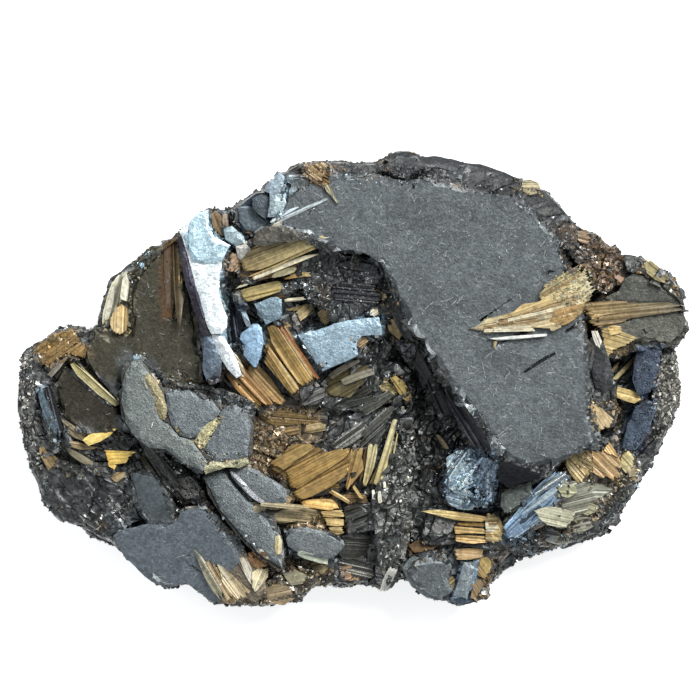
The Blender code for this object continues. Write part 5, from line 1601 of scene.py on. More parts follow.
WEST_BOARDS_PX = [
    ([(33, 350), (45, 340), (55, 335), (62, 330), (72, 330), (80, 340), (88, 348), (85, 358), (74, 356),
      (64, 352), (56, 364), (48, 368), (38, 362)], ((40, 362), (78, 334)), (0.245, 0.158, 0.060),
     (0.285, 0.185, 0.068), 0.1),
    ([(78, 346), (84, 346), (88, 352), (86, 358), (79, 357)], ((78, 347), (86, 358)), (0.27, 0.235, 0.13),
     (0.30, 0.25, 0.14), 0.15),
    ([(61, 418), (66, 420), (78, 428), (90, 438), (88, 444), (74, 438), (64, 430)], ((63, 420), (88, 442)),
     (0.27, 0.235, 0.17), (0.46, 0.37, 0.21), 0.35),
    ([(66, 440), (76, 441), (90, 446), (104, 446), (96, 450), (80, 450), (68, 446)], ((67, 442), (102, 448)),
     (0.24, 0.18, 0.10), (0.34, 0.26, 0.14), 0.3),
    ([(64, 446), (72, 449), (84, 456), (94, 462), (91, 468), (80, 463), (68, 454)], ((66, 448), (92, 465)),
     (0.21, 0.18, 0.12), (0.40, 0.36, 0.24), 0.35),
    ([(46, 375), (56, 366), (65, 355), (68, 357), (58, 371), (50, 379)], ((48, 376), (66, 356)),
     (0.24, 0.21, 0.17), (0.30, 0.27, 0.23), 0.25),
    ([(38, 448), (43, 446), (50, 452), (58, 459), (55, 468), (48, 472), (41, 459)], ((41, 447), (53, 470)),
     (0.34, 0.24, 0.12), (0.20, 0.15, 0.08), 0.15),
    ([(109, 478), (116, 472), (126, 471), (125, 477), (116, 483)], ((110, 480), (125, 473)), TAN, STRAW,
     0.15),
    ([(172, 238), (180, 236), (183, 262), (184, 300), (181, 330), (177, 322), (174, 280)],
     ((177, 236), (180, 328)), (0.30, 0.20, 0.085), (0.115, 0.095, 0.060), 0.08),
    ([(164, 246), (172, 240), (173, 284), (170, 326), (166, 316)], ((168, 242), (168, 322)),
     (0.150, 0.098, 0.055), (0.100, 0.075, 0.050), 0.04),
    ([(104, 320), (106, 304), (110, 290), (116, 278), (124, 270), (131, 271), (132, 288), (131, 305),
      (124, 306), (112, 320)], ((108, 320), (124, 271)), (0.40, 0.39, 0.27), (0.52, 0.51, 0.40), 0.35),
    # the next two narrow pale chips are painted highlights on the north-west bundle
    ([(106, 314), (110, 296), (116, 283), (119, 284), (114, 300), (110, 318)], ((108, 316), (118, 284)),
     (0.62, 0.61, 0.50), (0.70, 0.68, 0.58), 0.5),
    ([(120, 300), (122, 280), (127, 272), (130, 284), (128, 302)], ((123, 302), (127, 273)),
     (0.62, 0.58, 0.44), (0.68, 0.65, 0.52), 0.5),
    ([(110, 318), (116, 308), (122, 304), (128, 308), (129, 320), (127, 331), (121, 335), (114, 333),
      (110, 326)], ((120, 306), (119, 334)), (0.56, 0.39, 0.17), (0.60, 0.46, 0.24), 0.55),
    ([(142, 445), (150, 446), (162, 458), (176, 474), (186, 488), (180, 500), (172, 496), (158, 474),
      (146, 458)], ((144, 446), (180, 498)), (0.105, 0.108, 0.10), (0.13, 0.13, 0.12), 0.1),
    ([(136, 452), (142, 448), (156, 468), (166, 484), (158, 484), (144, 468)], ((139, 450), (162, 484)),
     (0.20, 0.18, 0.13), (0.12, 0.12, 0.11), 0.12),
    ([(178, 478), (190, 476), (202, 488), (198, 498), (186, 500), (176, 490)], ((178, 480), (200, 496)),
     (0.15, 0.14, 0.12), (0.11, 0.11, 0.10), 0.02),
    ([(208, 458), (222, 462), (240, 458), (248, 462), (244, 470), (228, 468), (212, 470), (204, 466)],
     ((206, 464), (246, 463)), (0.24, 0.22, 0.13), (0.34, 0.27, 0.15), 0.25),
    ([(166, 414), (172, 420), (178, 432), (190, 440), (186, 446), (174, 438), (166, 426)],
     ((168, 417), (188, 444)), (0.20, 0.15, 0.10), (0.30, 0.24, 0.15), 0.15),
]
SOUTH_BOARDS_PX = [
    ([(236, 558), (242, 556), (250, 563), (253, 572), (252, 588), (247, 578), (242, 566)],
     ((238, 558), (251, 586)), (0.58, 0.52, 0.40), (0.66, 0.64, 0.54), 0.25),
    ([(252, 572), (260, 566), (269, 568), (268, 577), (261, 586), (255, 593), (252, 588)],
     ((256, 592), (266, 568)), (0.62, 0.56, 0.38), (0.54, 0.46, 0.27), 0.3),
    ([(247, 553), (256, 550), (266, 556), (268, 566), (258, 570), (250, 564)], ((248, 554), (266, 568)),
     (0.26, 0.13, 0.055), (0.34, 0.20, 0.09), 0.35),
    ([(214, 586), (228, 590), (238, 602), (232, 606), (220, 602)], ((214, 588), (234, 604)), OCHRE, TAN,
     0.1),
    ([(262, 590), (276, 584), (290, 586), (296, 598), (284, 606), (268, 604)], ((264, 598), (294, 592)),
     (0.24, 0.18, 0.10), (0.34, 0.26, 0.15), 0.1),
    ([(282, 574), (296, 570), (308, 574), (304, 584), (290, 586)], ((284, 580), (306, 576)),
     (0.22, 0.21, 0.14), (0.36, 0.33, 0.22), 0.15),
    ([(340, 567), (352, 564), (362, 570), (360, 580), (348, 582), (340, 577)], ((341, 576), (360, 570)),
     (0.22, 0.13, 0.07), (0.34, 0.22, 0.12), 0.1),
    ([(310, 562), (324, 560), (331, 566), (324, 575), (312, 574)], ((311, 570), (330, 565)),
     (0.20, 0.16, 0.08), (0.36, 0.28, 0.13), 0.1),
    ([(379, 592), (384, 576), (390, 566), (398, 569), (392, 583), (388, 591)], ((384, 590), (394, 569)),
     (0.34, 0.34, 0.31), (0.52, 0.52, 0.48), 0.2),
    ([(388, 588), (392, 580), (399, 570), (402, 572), (396, 584), (391, 591)], ((390, 590), (400, 572)),
     BLACK_AND_SHADE, (0.20, 0.20, 0.19), 0.15),
    ([(474, 566), (476, 559), (486, 556), (492, 562), (492, 573), (486, 580), (478, 576)],
     ((476, 562), (488, 578)), (0.30, 0.22, 0.08), (0.42, 0.30, 0.12), 0.2),
    ([(473, 580), (484, 579), (490, 584), (487, 598), (478, 603), (470, 598)], ((474, 582), (484, 600)),
     (0.26, 0.18, 0.10), (0.34, 0.25, 0.14), 0.15),
    ([(442, 580), (450, 574), (456, 577), (458, 584), (452, 593), (446, 590)], ((443, 588), (456, 578)),
     (0.34, 0.29, 0.15), TAN, 0.2),
    ([(407, 546), (418, 540), (432, 541), (440, 546), (430, 552), (414, 553)], ((408, 549), (440, 546)),
     (0.16, 0.10, 0.05), (0.22, 0.14, 0.07), 0.1),
]
SOUTHEAST_BOARDS_PX = [
    ([(544, 506), (556, 486), (566, 480), (582, 481), (600, 483), (616, 489), (606, 504), (597, 520),
      (576, 532), (556, 528), (540, 515)], ((546, 508), (612, 492)), (0.25, 0.25, 0.19), (0.21, 0.21, 0.17),
     0.0),
    ([(556, 486), (564, 483), (576, 484), (578, 492), (568, 498), (560, 496)], ((557, 488), (577, 490)),
     (0.36, 0.36, 0.22), (0.45, 0.45, 0.29), 0.2),
    ([(533, 510), (546, 506), (559, 507), (576, 512), (573, 521), (565, 528), (547, 525), (538, 518)],
     ((534, 511), (574, 520)), (0.60, 0.59, 0.44), (0.48, 0.46, 0.32), 0.25),
    ([(560, 500), (568, 499), (577, 503), (580, 512), (566, 511), (560, 506)], ((561, 502), (579, 508)),
     (0.34, 0.35, 0.25), (0.47, 0.47, 0.34), 0.2),
    ([(580, 501), (588, 500), (596, 504), (598, 512), (588, 516), (579, 512)], ((581, 504), (597, 510)),
     (0.34, 0.33, 0.21), (0.46, 0.43, 0.28), 0.2),
    ([(585, 487), (594, 484), (604, 486), (614, 489), (602, 498), (588, 498)], ((586, 490), (612, 491)),
     (0.33, 0.34, 0.26), (0.40, 0.42, 0.33), 0.2),
    ([(568, 524), (578, 517), (592, 517), (594, 527), (582, 534), (570, 532)], ((569, 527), (593, 522)),
     (0.230, 0.230, 0.184), (0.34, 0.33, 0.26), 0.1),
    ([(620, 456), (628, 450), (634, 456), (634, 468), (626, 474), (619, 466)], ((621, 458), (632, 470)),
     (0.46, 0.39, 0.18), (0.60, 0.53, 0.31), 0.2),
    ([(628, 470), (634, 467), (640, 468), (636, 476), (628, 478)], ((629, 476), (639, 468)),
     (0.34, 0.31, 0.20), TAN, 0.15),
    ([(540, 532), (552, 528), (566, 536), (572, 542), (562, 546), (546, 542)], ((541, 536), (570, 541)),
     (0.138, 0.161, 0.196), (0.253, 0.241, 0.172), 0.1),
    ([(435, 434), (438, 433), (446, 442), (450, 450), (447, 452), (440, 444)], ((436, 434), (449, 451)),
     (0.34, 0.25, 0.15), (0.48, 0.39, 0.25), 0.2),
]
EAST_BOARDS_PX = [
    ([(589, 402), (599, 406), (614, 420), (608, 428), (599, 430), (591, 427), (588, 414)],
     ((591, 404), (606, 426)), (0.34, 0.25, 0.13), (0.42, 0.33, 0.19), 0.25),
    ([(611, 380), (624, 366), (637, 354), (640, 357), (628, 370), (615, 383)], ((612, 382), (638, 356)),
     (0.26, 0.22, 0.10), (0.34, 0.28, 0.14), 0.9),
    ([(608, 374), (613, 366), (620, 361), (620, 366), (613, 374)], ((609, 374), (619, 363)),
     (0.34, 0.26, 0.12), TAN, 0.9),
    ([(642, 263), (650, 260), (660, 268), (669, 279), (664, 285), (654, 280), (646, 274)],
     ((644, 264), (666, 282)), (0.30, 0.26, 0.13), (0.20, 0.17, 0.09), 0.2),
    ([(575, 232), (586, 230), (592, 240), (588, 246), (577, 242)], ((576, 236), (590, 240)),
     (0.30, 0.24, 0.15), (0.20, 0.11, 0.06), 0.25),
    ([(520, 182), (530, 179), (540, 184), (541, 192), (530, 196), (522, 192)], ((521, 188), (540, 188)),
     (0.34, 0.29, 0.17), (0.42, 0.36, 0.22), 0.15),
]


def loose_boards(surface):
    """The loose chips of rutile, one piece for each side of the stone."""
    for name, table, kind in (
        ("centre_boards", CENTRE_BOARDS_PX, "gold"),
        ("north_boards", NORTH_BOARDS_PX, "straw"),
        ("west_boards", WEST_BOARDS_PX, "amber"),
        ("south_boards", SOUTH_BOARDS_PX, "straw"),
        ("southeast_boards", SOUTHEAST_BOARDS_PX, "straw"),
        ("east_boards", EAST_BOARDS_PX, "amber"),
    ):
        heap = Heap(len(table))
        boards(heap, surface, table)
        heap.piece("loose_" + name, FINISHES[kind], "rutile_" + kind)


# Dark striated crystals of hematite: outline, run of the ridges, colour at the root and at the tip, lift.
HEMATITE_BLADES_PX = [
    ([(37, 391), (43, 392), (51, 410), (59, 427), (57, 436), (49, 427), (41, 408)], ((40, 392), (57, 434)),
     (0.20, 0.27, 0.31), (0.13, 0.17, 0.20), 0.2),
    ([(44, 386), (51, 388), (58, 408), (64, 430), (58, 446), (56, 428), (48, 404)], ((47, 388), (60, 440)),
     BLACK_AND_SHADE, (0.045, 0.05, 0.058), 0.25),
    ([(229, 306), (238, 304), (244, 320), (246, 329), (240, 334), (242, 350), (233, 342), (228, 326)],
     ((234, 306), (240, 346)), (0.028, 0.032, 0.042), (0.05, 0.058, 0.075), 0.25),
    ([(328, 447), (339, 438), (352, 428), (362, 420), (367, 424), (362, 437), (350, 445), (337, 451)],
     ((330, 448), (364, 424)), (0.180, 0.180, 0.165), (0.24, 0.24, 0.22), 0.3),
    ([(351, 447), (356, 436), (368, 425), (380, 413), (391, 405), (401, 403), (398, 410), (388, 418),
      (381, 431), (368, 444), (360, 449)], ((354, 446), (398, 406)), (0.165, 0.165, 0.152),
     (0.25, 0.245, 0.215), 0.3),
    ([(356, 410), (370, 400), (388, 390), (396, 394), (384, 404), (366, 416)], ((358, 413), (393, 393)),
     (0.130, 0.130, 0.112), (0.18, 0.175, 0.145), 0.15),
    ([(330, 408), (346, 396), (366, 386), (374, 390), (356, 402), (338, 416)], ((332, 412), (371, 389)),
     (0.085, 0.09, 0.08), (0.14, 0.135, 0.115), 0.15),
    ([(366, 446), (378, 430), (386, 418), (392, 414), (388, 430), (376, 446)], ((370, 445), (389, 418)),
     (0.155, 0.158, 0.145), (0.20, 0.20, 0.175), 0.15),
    ([(340, 402), (360, 394), (380, 398), (372, 408), (352, 412)], ((342, 408), (376, 400)),
     (0.07, 0.072, 0.066), (0.12, 0.12, 0.10), 0.1),
    ([(345, 508), (358, 505), (369, 512), (367, 526), (354, 531), (344, 522)], ((346, 520), (367, 512)),
     (0.10, 0.10, 0.088), (0.14, 0.14, 0.12), 0.15),
    ([(336, 538), (352, 532), (372, 536), (376, 552), (364, 562), (342, 560), (335, 550)],
     ((337, 546), (374, 548)), (0.085, 0.085, 0.075), (0.115, 0.115, 0.10), 0.15),
    ([(336, 562), (350, 558), (374, 566), (376, 578), (358, 582), (340, 576)], ((338, 566), (374, 574)),
     (0.075, 0.075, 0.068), (0.11, 0.11, 0.10), 0.1),
    ([(554, 351), (557, 353), (541, 363), (524, 374), (521, 372), (537, 360)], ((522, 373), (556, 352)),
     BLACK_AND_SHADE, BLACK_AND_SHADE, 0.08),
    # a black strip along the crack under the right spray: painted shadow
    ([(588, 315), (591, 317), (579, 325), (566, 333), (564, 330), (577, 321)], ((565, 332), (590, 316)),
     BLACK_AND_SHADE, BLACK_AND_SHADE, 0.08),
    # the next six dark blades lie in the crevice; their near-black is painted shade
    ([(445, 380), (456, 388), (470, 408), (486, 432), (496, 450), (486, 456), (470, 444), (456, 420),
      (444, 396)], ((448, 384), (490, 452)), (0.038, 0.040, 0.046), (0.050, 0.052, 0.060), 0.1),
    ([(426, 372), (436, 376), (448, 400), (456, 420), (450, 426), (438, 408), (428, 390)],
     ((430, 374), (452, 422)), (0.042, 0.044, 0.046), (0.052, 0.054, 0.060), 0.1),
    ([(404, 340), (414, 342), (428, 366), (438, 386), (432, 392), (418, 372), (406, 354)],
     ((408, 342), (434, 388)), (0.045, 0.045, 0.044), (0.060, 0.062, 0.064), 0.1),
    ([(386, 296), (396, 300), (408, 326), (414, 340), (406, 342), (394, 322)], ((390, 298), (410, 340)),
     (0.050, 0.050, 0.050), (0.070, 0.072, 0.074), 0.1),
    ([(330, 288), (350, 278), (372, 284), (384, 296), (378, 306), (352, 304), (334, 300)],
     ((332, 294), (380, 298)), (0.040, 0.042, 0.046), (0.060, 0.062, 0.066), 0.1),
    ([(336, 264), (356, 258), (378, 268), (382, 280), (364, 278), (342, 274)], ((338, 268), (380, 276)),
     (0.055, 0.058, 0.062), (0.075, 0.078, 0.082), 0.1),
]


# The same for the blue crystals, whose ridges differ more. Their palest ridges are painted reflection.
BLUE_BLADES_PX = [
    # the sheaf in the south-east
    ([(567, 472), (569, 481), (560, 490), (560, 500), (547, 508), (536, 520), (522, 534), (508, 538),
      (503, 528), (505, 518), (516, 512), (519, 505), (530, 492), (544, 479), (556, 470)],
     ((506, 534), (564, 476)), (0.35, 0.49, 0.66), (0.52, 0.69, 0.88), 0.2),
    ([(540, 486), (552, 476), (566, 470), (568, 476), (556, 484), (540, 494), (530, 498)],
     ((532, 496), (567, 473)), (0.66, 0.82, 0.94), (0.86, 0.94, 0.98), 0.38),
    ([(520, 510), (534, 500), (548, 490), (560, 482), (562, 486), (548, 498), (532, 508), (520, 518)],
     ((520, 514), (561, 484)), (0.42, 0.54, 0.68), (0.74, 0.86, 0.94), 0.34),
    ([(505, 524), (514, 516), (528, 508), (530, 512), (518, 520), (508, 530)], ((506, 527), (529, 510)),
     (0.80, 0.94, 0.98), (0.60, 0.76, 0.84), 0.36),
    ([(512, 534), (526, 522), (540, 514), (552, 508), (552, 513), (538, 522), (524, 532), (514, 539)],
     ((513, 537), (552, 511)), (0.68, 0.82, 0.94), (0.54, 0.70, 0.84), 0.34),
    ([(508, 530), (524, 516), (540, 504), (542, 507), (526, 520), (512, 534)], ((510, 532), (541, 506)),
     (0.060, 0.075, 0.100), (0.080, 0.100, 0.130), 0.37),
    # the cluster at the foot of the great plate
    ([(446, 475), (446, 457), (460, 448), (474, 451), (478, 462), (470, 478), (460, 490), (448, 490)],
     ((448, 488), (472, 452)), (0.40, 0.50, 0.52), (0.52, 0.62, 0.66), 0.15),
    ([(470, 466), (484, 454), (498, 461), (496, 476), (490, 496), (478, 494), (468, 482)],
     ((474, 492), (492, 458)), (0.16, 0.22, 0.30), (0.30, 0.38, 0.46), 0.2),
    ([(486, 474), (490, 466), (494, 468), (494, 486), (490, 500), (486, 496)], ((488, 498), (492, 467)),
     (0.50, 0.63, 0.77), (0.64, 0.77, 0.78), 0.4),
    ([(444, 495), (456, 488), (470, 490), (480, 500), (474, 510), (460, 510), (448, 504)],
     ((446, 496), (478, 506)), (0.45, 0.58, 0.70), (0.62, 0.78, 0.80), 0.2),
    ([(448, 478), (462, 470), (474, 474), (474, 486), (462, 492), (450, 488)], ((450, 486), (473, 476)),
     (0.34, 0.45, 0.55), (0.56, 0.70, 0.80), 0.35),
]


def hematite_blades(surface):
    """The dark and the blue striated crystals as one piece."""
    heap = Heap(17)
    boards(heap, surface, HEMATITE_BLADES_PX, contrast=0.17)
    boards(heap, surface, BLUE_BLADES_PX, contrast=0.45)
    heap.piece("hematite_blades", HEMATITE, "hematite")


# ---- crumbs -------------------------------------------------------------------------------------

DULL = (BLACK_AND_SHADE, GRAPHITE, GRAPHITE, STEEL, STEEL)
# the pale colours among SPARKS are painted glints on the crumbs
SPARKS = (GRAPHITE, GRAPHITE, STEEL, STEEL, STEEL_PALE, WHITISH)
EARTH = (BROWN, OCHRE, TAN, UMBER)
SAND = (TAN, STRAW, OCHRE, WHITISH, BROWN)
GREY_SAND = (GRAPHITE, STEEL_LIGHT, TAN, WHITISH, UMBER)

# Patches of crumbs: outline, how many a square millimetre, length of a crumb in millimetres, colours.
DARK_CRUMBS_PX = [
    ([(20, 200), (240, 200), (330, 230), (560, 300), (690, 300), (690, 610), (20, 610)], 3.0, 0.24, DULL),
    ([(270, 182), (330, 170), (400, 168), (470, 180), (520, 192), (548, 226), (566, 258), (556, 262),
      (536, 230), (512, 206), (465, 192), (400, 180), (330, 182), (274, 196)], 16.0, 0.17, SPARKS),
    ([(283, 283), (315, 281), (318, 290), (312, 299), (284, 299)], 30.0, 0.20,
     (STEEL, STEEL_PALE, WHITISH, ICE_GLINT)),
    ([(300, 262), (350, 256), (384, 270), (390, 300), (386, 314), (330, 316), (296, 300)], 12.0, 0.22,
     SPARKS),
    ([(395, 425), (412, 430), (414, 541), (404, 586), (380, 588), (385, 500)], 14.0, 0.22, SPARKS),
    ([(360, 330), (384, 336), (384, 358), (362, 358)], 16.0, 0.26, (BLACK_AND_SHADE, PURPLE, WHITISH, GRAPHITE)),
    ([(404, 420), (449, 430), (455, 510), (412, 515)], 5.0, 0.20, SPARKS),
    ([(158, 450), (176, 454), (198, 480), (192, 486), (160, 466)], 22.0, 0.22,
     (BLACK_AND_SHADE, STEEL_PALE, WHITISH, UMBER)),
    ([(96, 494), (132, 494), (132, 526), (100, 526)], 9.0, 0.22, SPARKS),
    ([(17, 352), (34, 356), (34, 440), (44, 470), (30, 470), (17, 430)], 26.0, 0.26,
     (STEEL_LIGHT, WHITISH, (0.34, 0.32, 0.28), (0.22, 0.21, 0.19), GRAPHITE)),
    ([(124, 250), (150, 244), (152, 266), (136, 284), (126, 270)], 16.0, 0.24,
     (BLACK_AND_SHADE, STEEL, STEEL_PALE, ICE_GLINT)),
    ([(510, 530), (560, 526), (566, 546), (520, 566)], 16.0, 0.24, (BLACK_AND_SHADE, BLACK_AND_SHADE, STEEL, ICE_GLINT)),
    ([(570, 510), (640, 470), (640, 500), (596, 534), (560, 548)], 14.0, 0.24,
     (GRAPHITE, STEEL, STEEL_PALE, UMBER)),
    ([(590, 330), (612, 335), (618, 400), (592, 404)], 12.0, 0.22, DULL),
    ([(147, 360), (219, 380), (222, 410), (170, 392), (150, 372)], 16.0, 0.20,
     (UMBER, GRAPHITE, STEEL_PALE, TAN)),
    ([(386, 150), (520, 165), (600, 226), (590, 236), (510, 186), (400, 168)], 5.0, 0.20,
     (GRAPHITE, BLACK_AND_SHADE, STEEL)),
]
EARTHY_CRUMBS_PX = [
    ([(652, 358), (682, 350), (686, 436), (654, 440)], 26.0, 0.24,
     ((0.46, 0.44, 0.37), WHITISH, (0.34, 0.32, 0.27), (0.20, 0.19, 0.16), GRAPHITE)),
    ([(560, 226), (590, 228), (604, 244), (592, 262), (578, 266), (560, 250)], 26.0, 0.26,
     (BLACK_AND_SHADE, BLACK_AND_SHADE, GRAPHITE, (0.36, 0.35, 0.32), UMBER, GRAPHITE)),
    ([(590, 238), (606, 236), (622, 254), (622, 292), (602, 296), (588, 262)], 22.0, 0.32,
     (RUST, (0.13, 0.085, 0.05), UMBER, BROWN, (0.20, 0.14, 0.08), BLACK_AND_SHADE)),
    ([(545, 222), (580, 226), (586, 262), (566, 268)], 16.0, 0.24,
     (UMBER, GRAPHITE, (0.30, 0.29, 0.26), BLACK_AND_SHADE)),
    ([(248, 424), (300, 424), (284, 460), (290, 490), (262, 486), (248, 450)], 24.0, 0.30,
     (TAN, BROWN, UMBER, (0.24, 0.17, 0.10), (0.38, 0.30, 0.20))),
    ([(262, 404), (306, 406), (320, 418), (258, 420)], 14.0, 0.24, EARTH),
    ([(208, 212), (252, 212), (254, 278), (226, 278), (212, 236)], 18.0, 0.34,
     (TAN, WHITISH, BROWN, BLACK_AND_SHADE, STEEL_LIGHT)),
    ([(360, 380), (412, 372), (412, 410), (370, 404)], 12.0, 0.24, (UMBER, OLIVE, TAN, GRAPHITE)),
    ([(318, 370), (360, 366), (366, 400), (320, 404)], 12.0, 0.24, (UMBER, OLIVE, GRAPHITE, STEEL)),
    ([(250, 498), (330, 498), (340, 530), (262, 530)], 10.0, 0.22, SAND),
    ([(212, 596), (232, 566), (300, 562), (336, 564), (338, 590), (300, 606), (250, 612)], 14.0, 0.26,
     GREY_SAND),
    ([(232, 556), (262, 548), (276, 566), (262, 588), (246, 580)], 20.0, 0.24, (WHITISH, TAN, RUST, PALE)),
    ([(468, 566), (496, 556), (498, 600), (470, 606)], 20.0, 0.24, (TAN, OCHRE, BROWN, UMBER)),
    ([(404, 544), (440, 540), (446, 560), (410, 566)], 14.0, 0.22, (UMBER, BROWN, TAN)),
    ([(556, 478), (632, 462), (634, 490), (600, 520), (556, 530)], 10.0, 0.22,
     (GREENISH, STRAW, UMBER, STEEL)),
    ([(616, 448), (640, 446), (642, 480), (618, 482)], 18.0, 0.22, (TAN, PALE, WHITISH, UMBER)),
    ([(584, 400), (622, 402), (618, 432), (588, 432)], 18.0, 0.24, (TAN, UMBER, STRAW, BROWN)),
    ([(630, 256), (672, 258), (688, 290), (690, 330), (682, 300), (660, 282), (632, 276)], 14.0, 0.26,
     (TAN, UMBER, GRAPHITE, OCHRE)),
    ([(16, 340), (46, 326), (92, 324), (92, 360), (40, 372)], 7.0, 0.24,
     (GRAPHITE, STEEL, UMBER, (0.20, 0.17, 0.12))),
    ([(32, 425), (64, 420), (104, 470), (96, 480), (56, 476)], 9.0, 0.26,
     (UMBER, (0.14, 0.12, 0.08), (0.20, 0.17, 0.12), GRAPHITE)),
    ([(104, 298), (134, 262), (134, 336), (106, 334)], 10.0, 0.24, (TAN, STRAW, UMBER)),
    ([(300, 160), (345, 158), (345, 206), (308, 184)], 10.0, 0.22, (TAN, OCHRE, UMBER, GRAPHITE)),
    ([(512, 176), (544, 180), (544, 198), (514, 194)], 16.0, 0.22, (TAN, STRAW, UMBER)),
    ([(376, 286), (404, 292), (402, 346), (384, 336)], 12.0, 0.26, (TAN, UMBER, OCHRE, BLACK_AND_SHADE)),
    ([(168, 412), (206, 432), (210, 464), (196, 446), (170, 430)], 12.0, 0.20,
     (UMBER, OLIVE, TAN, GRAPHITE)),
    ([(205, 450), (252, 456), (252, 474), (206, 472)], 16.0, 0.22, (OLIVE, TAN, GREENISH, UMBER)),
]


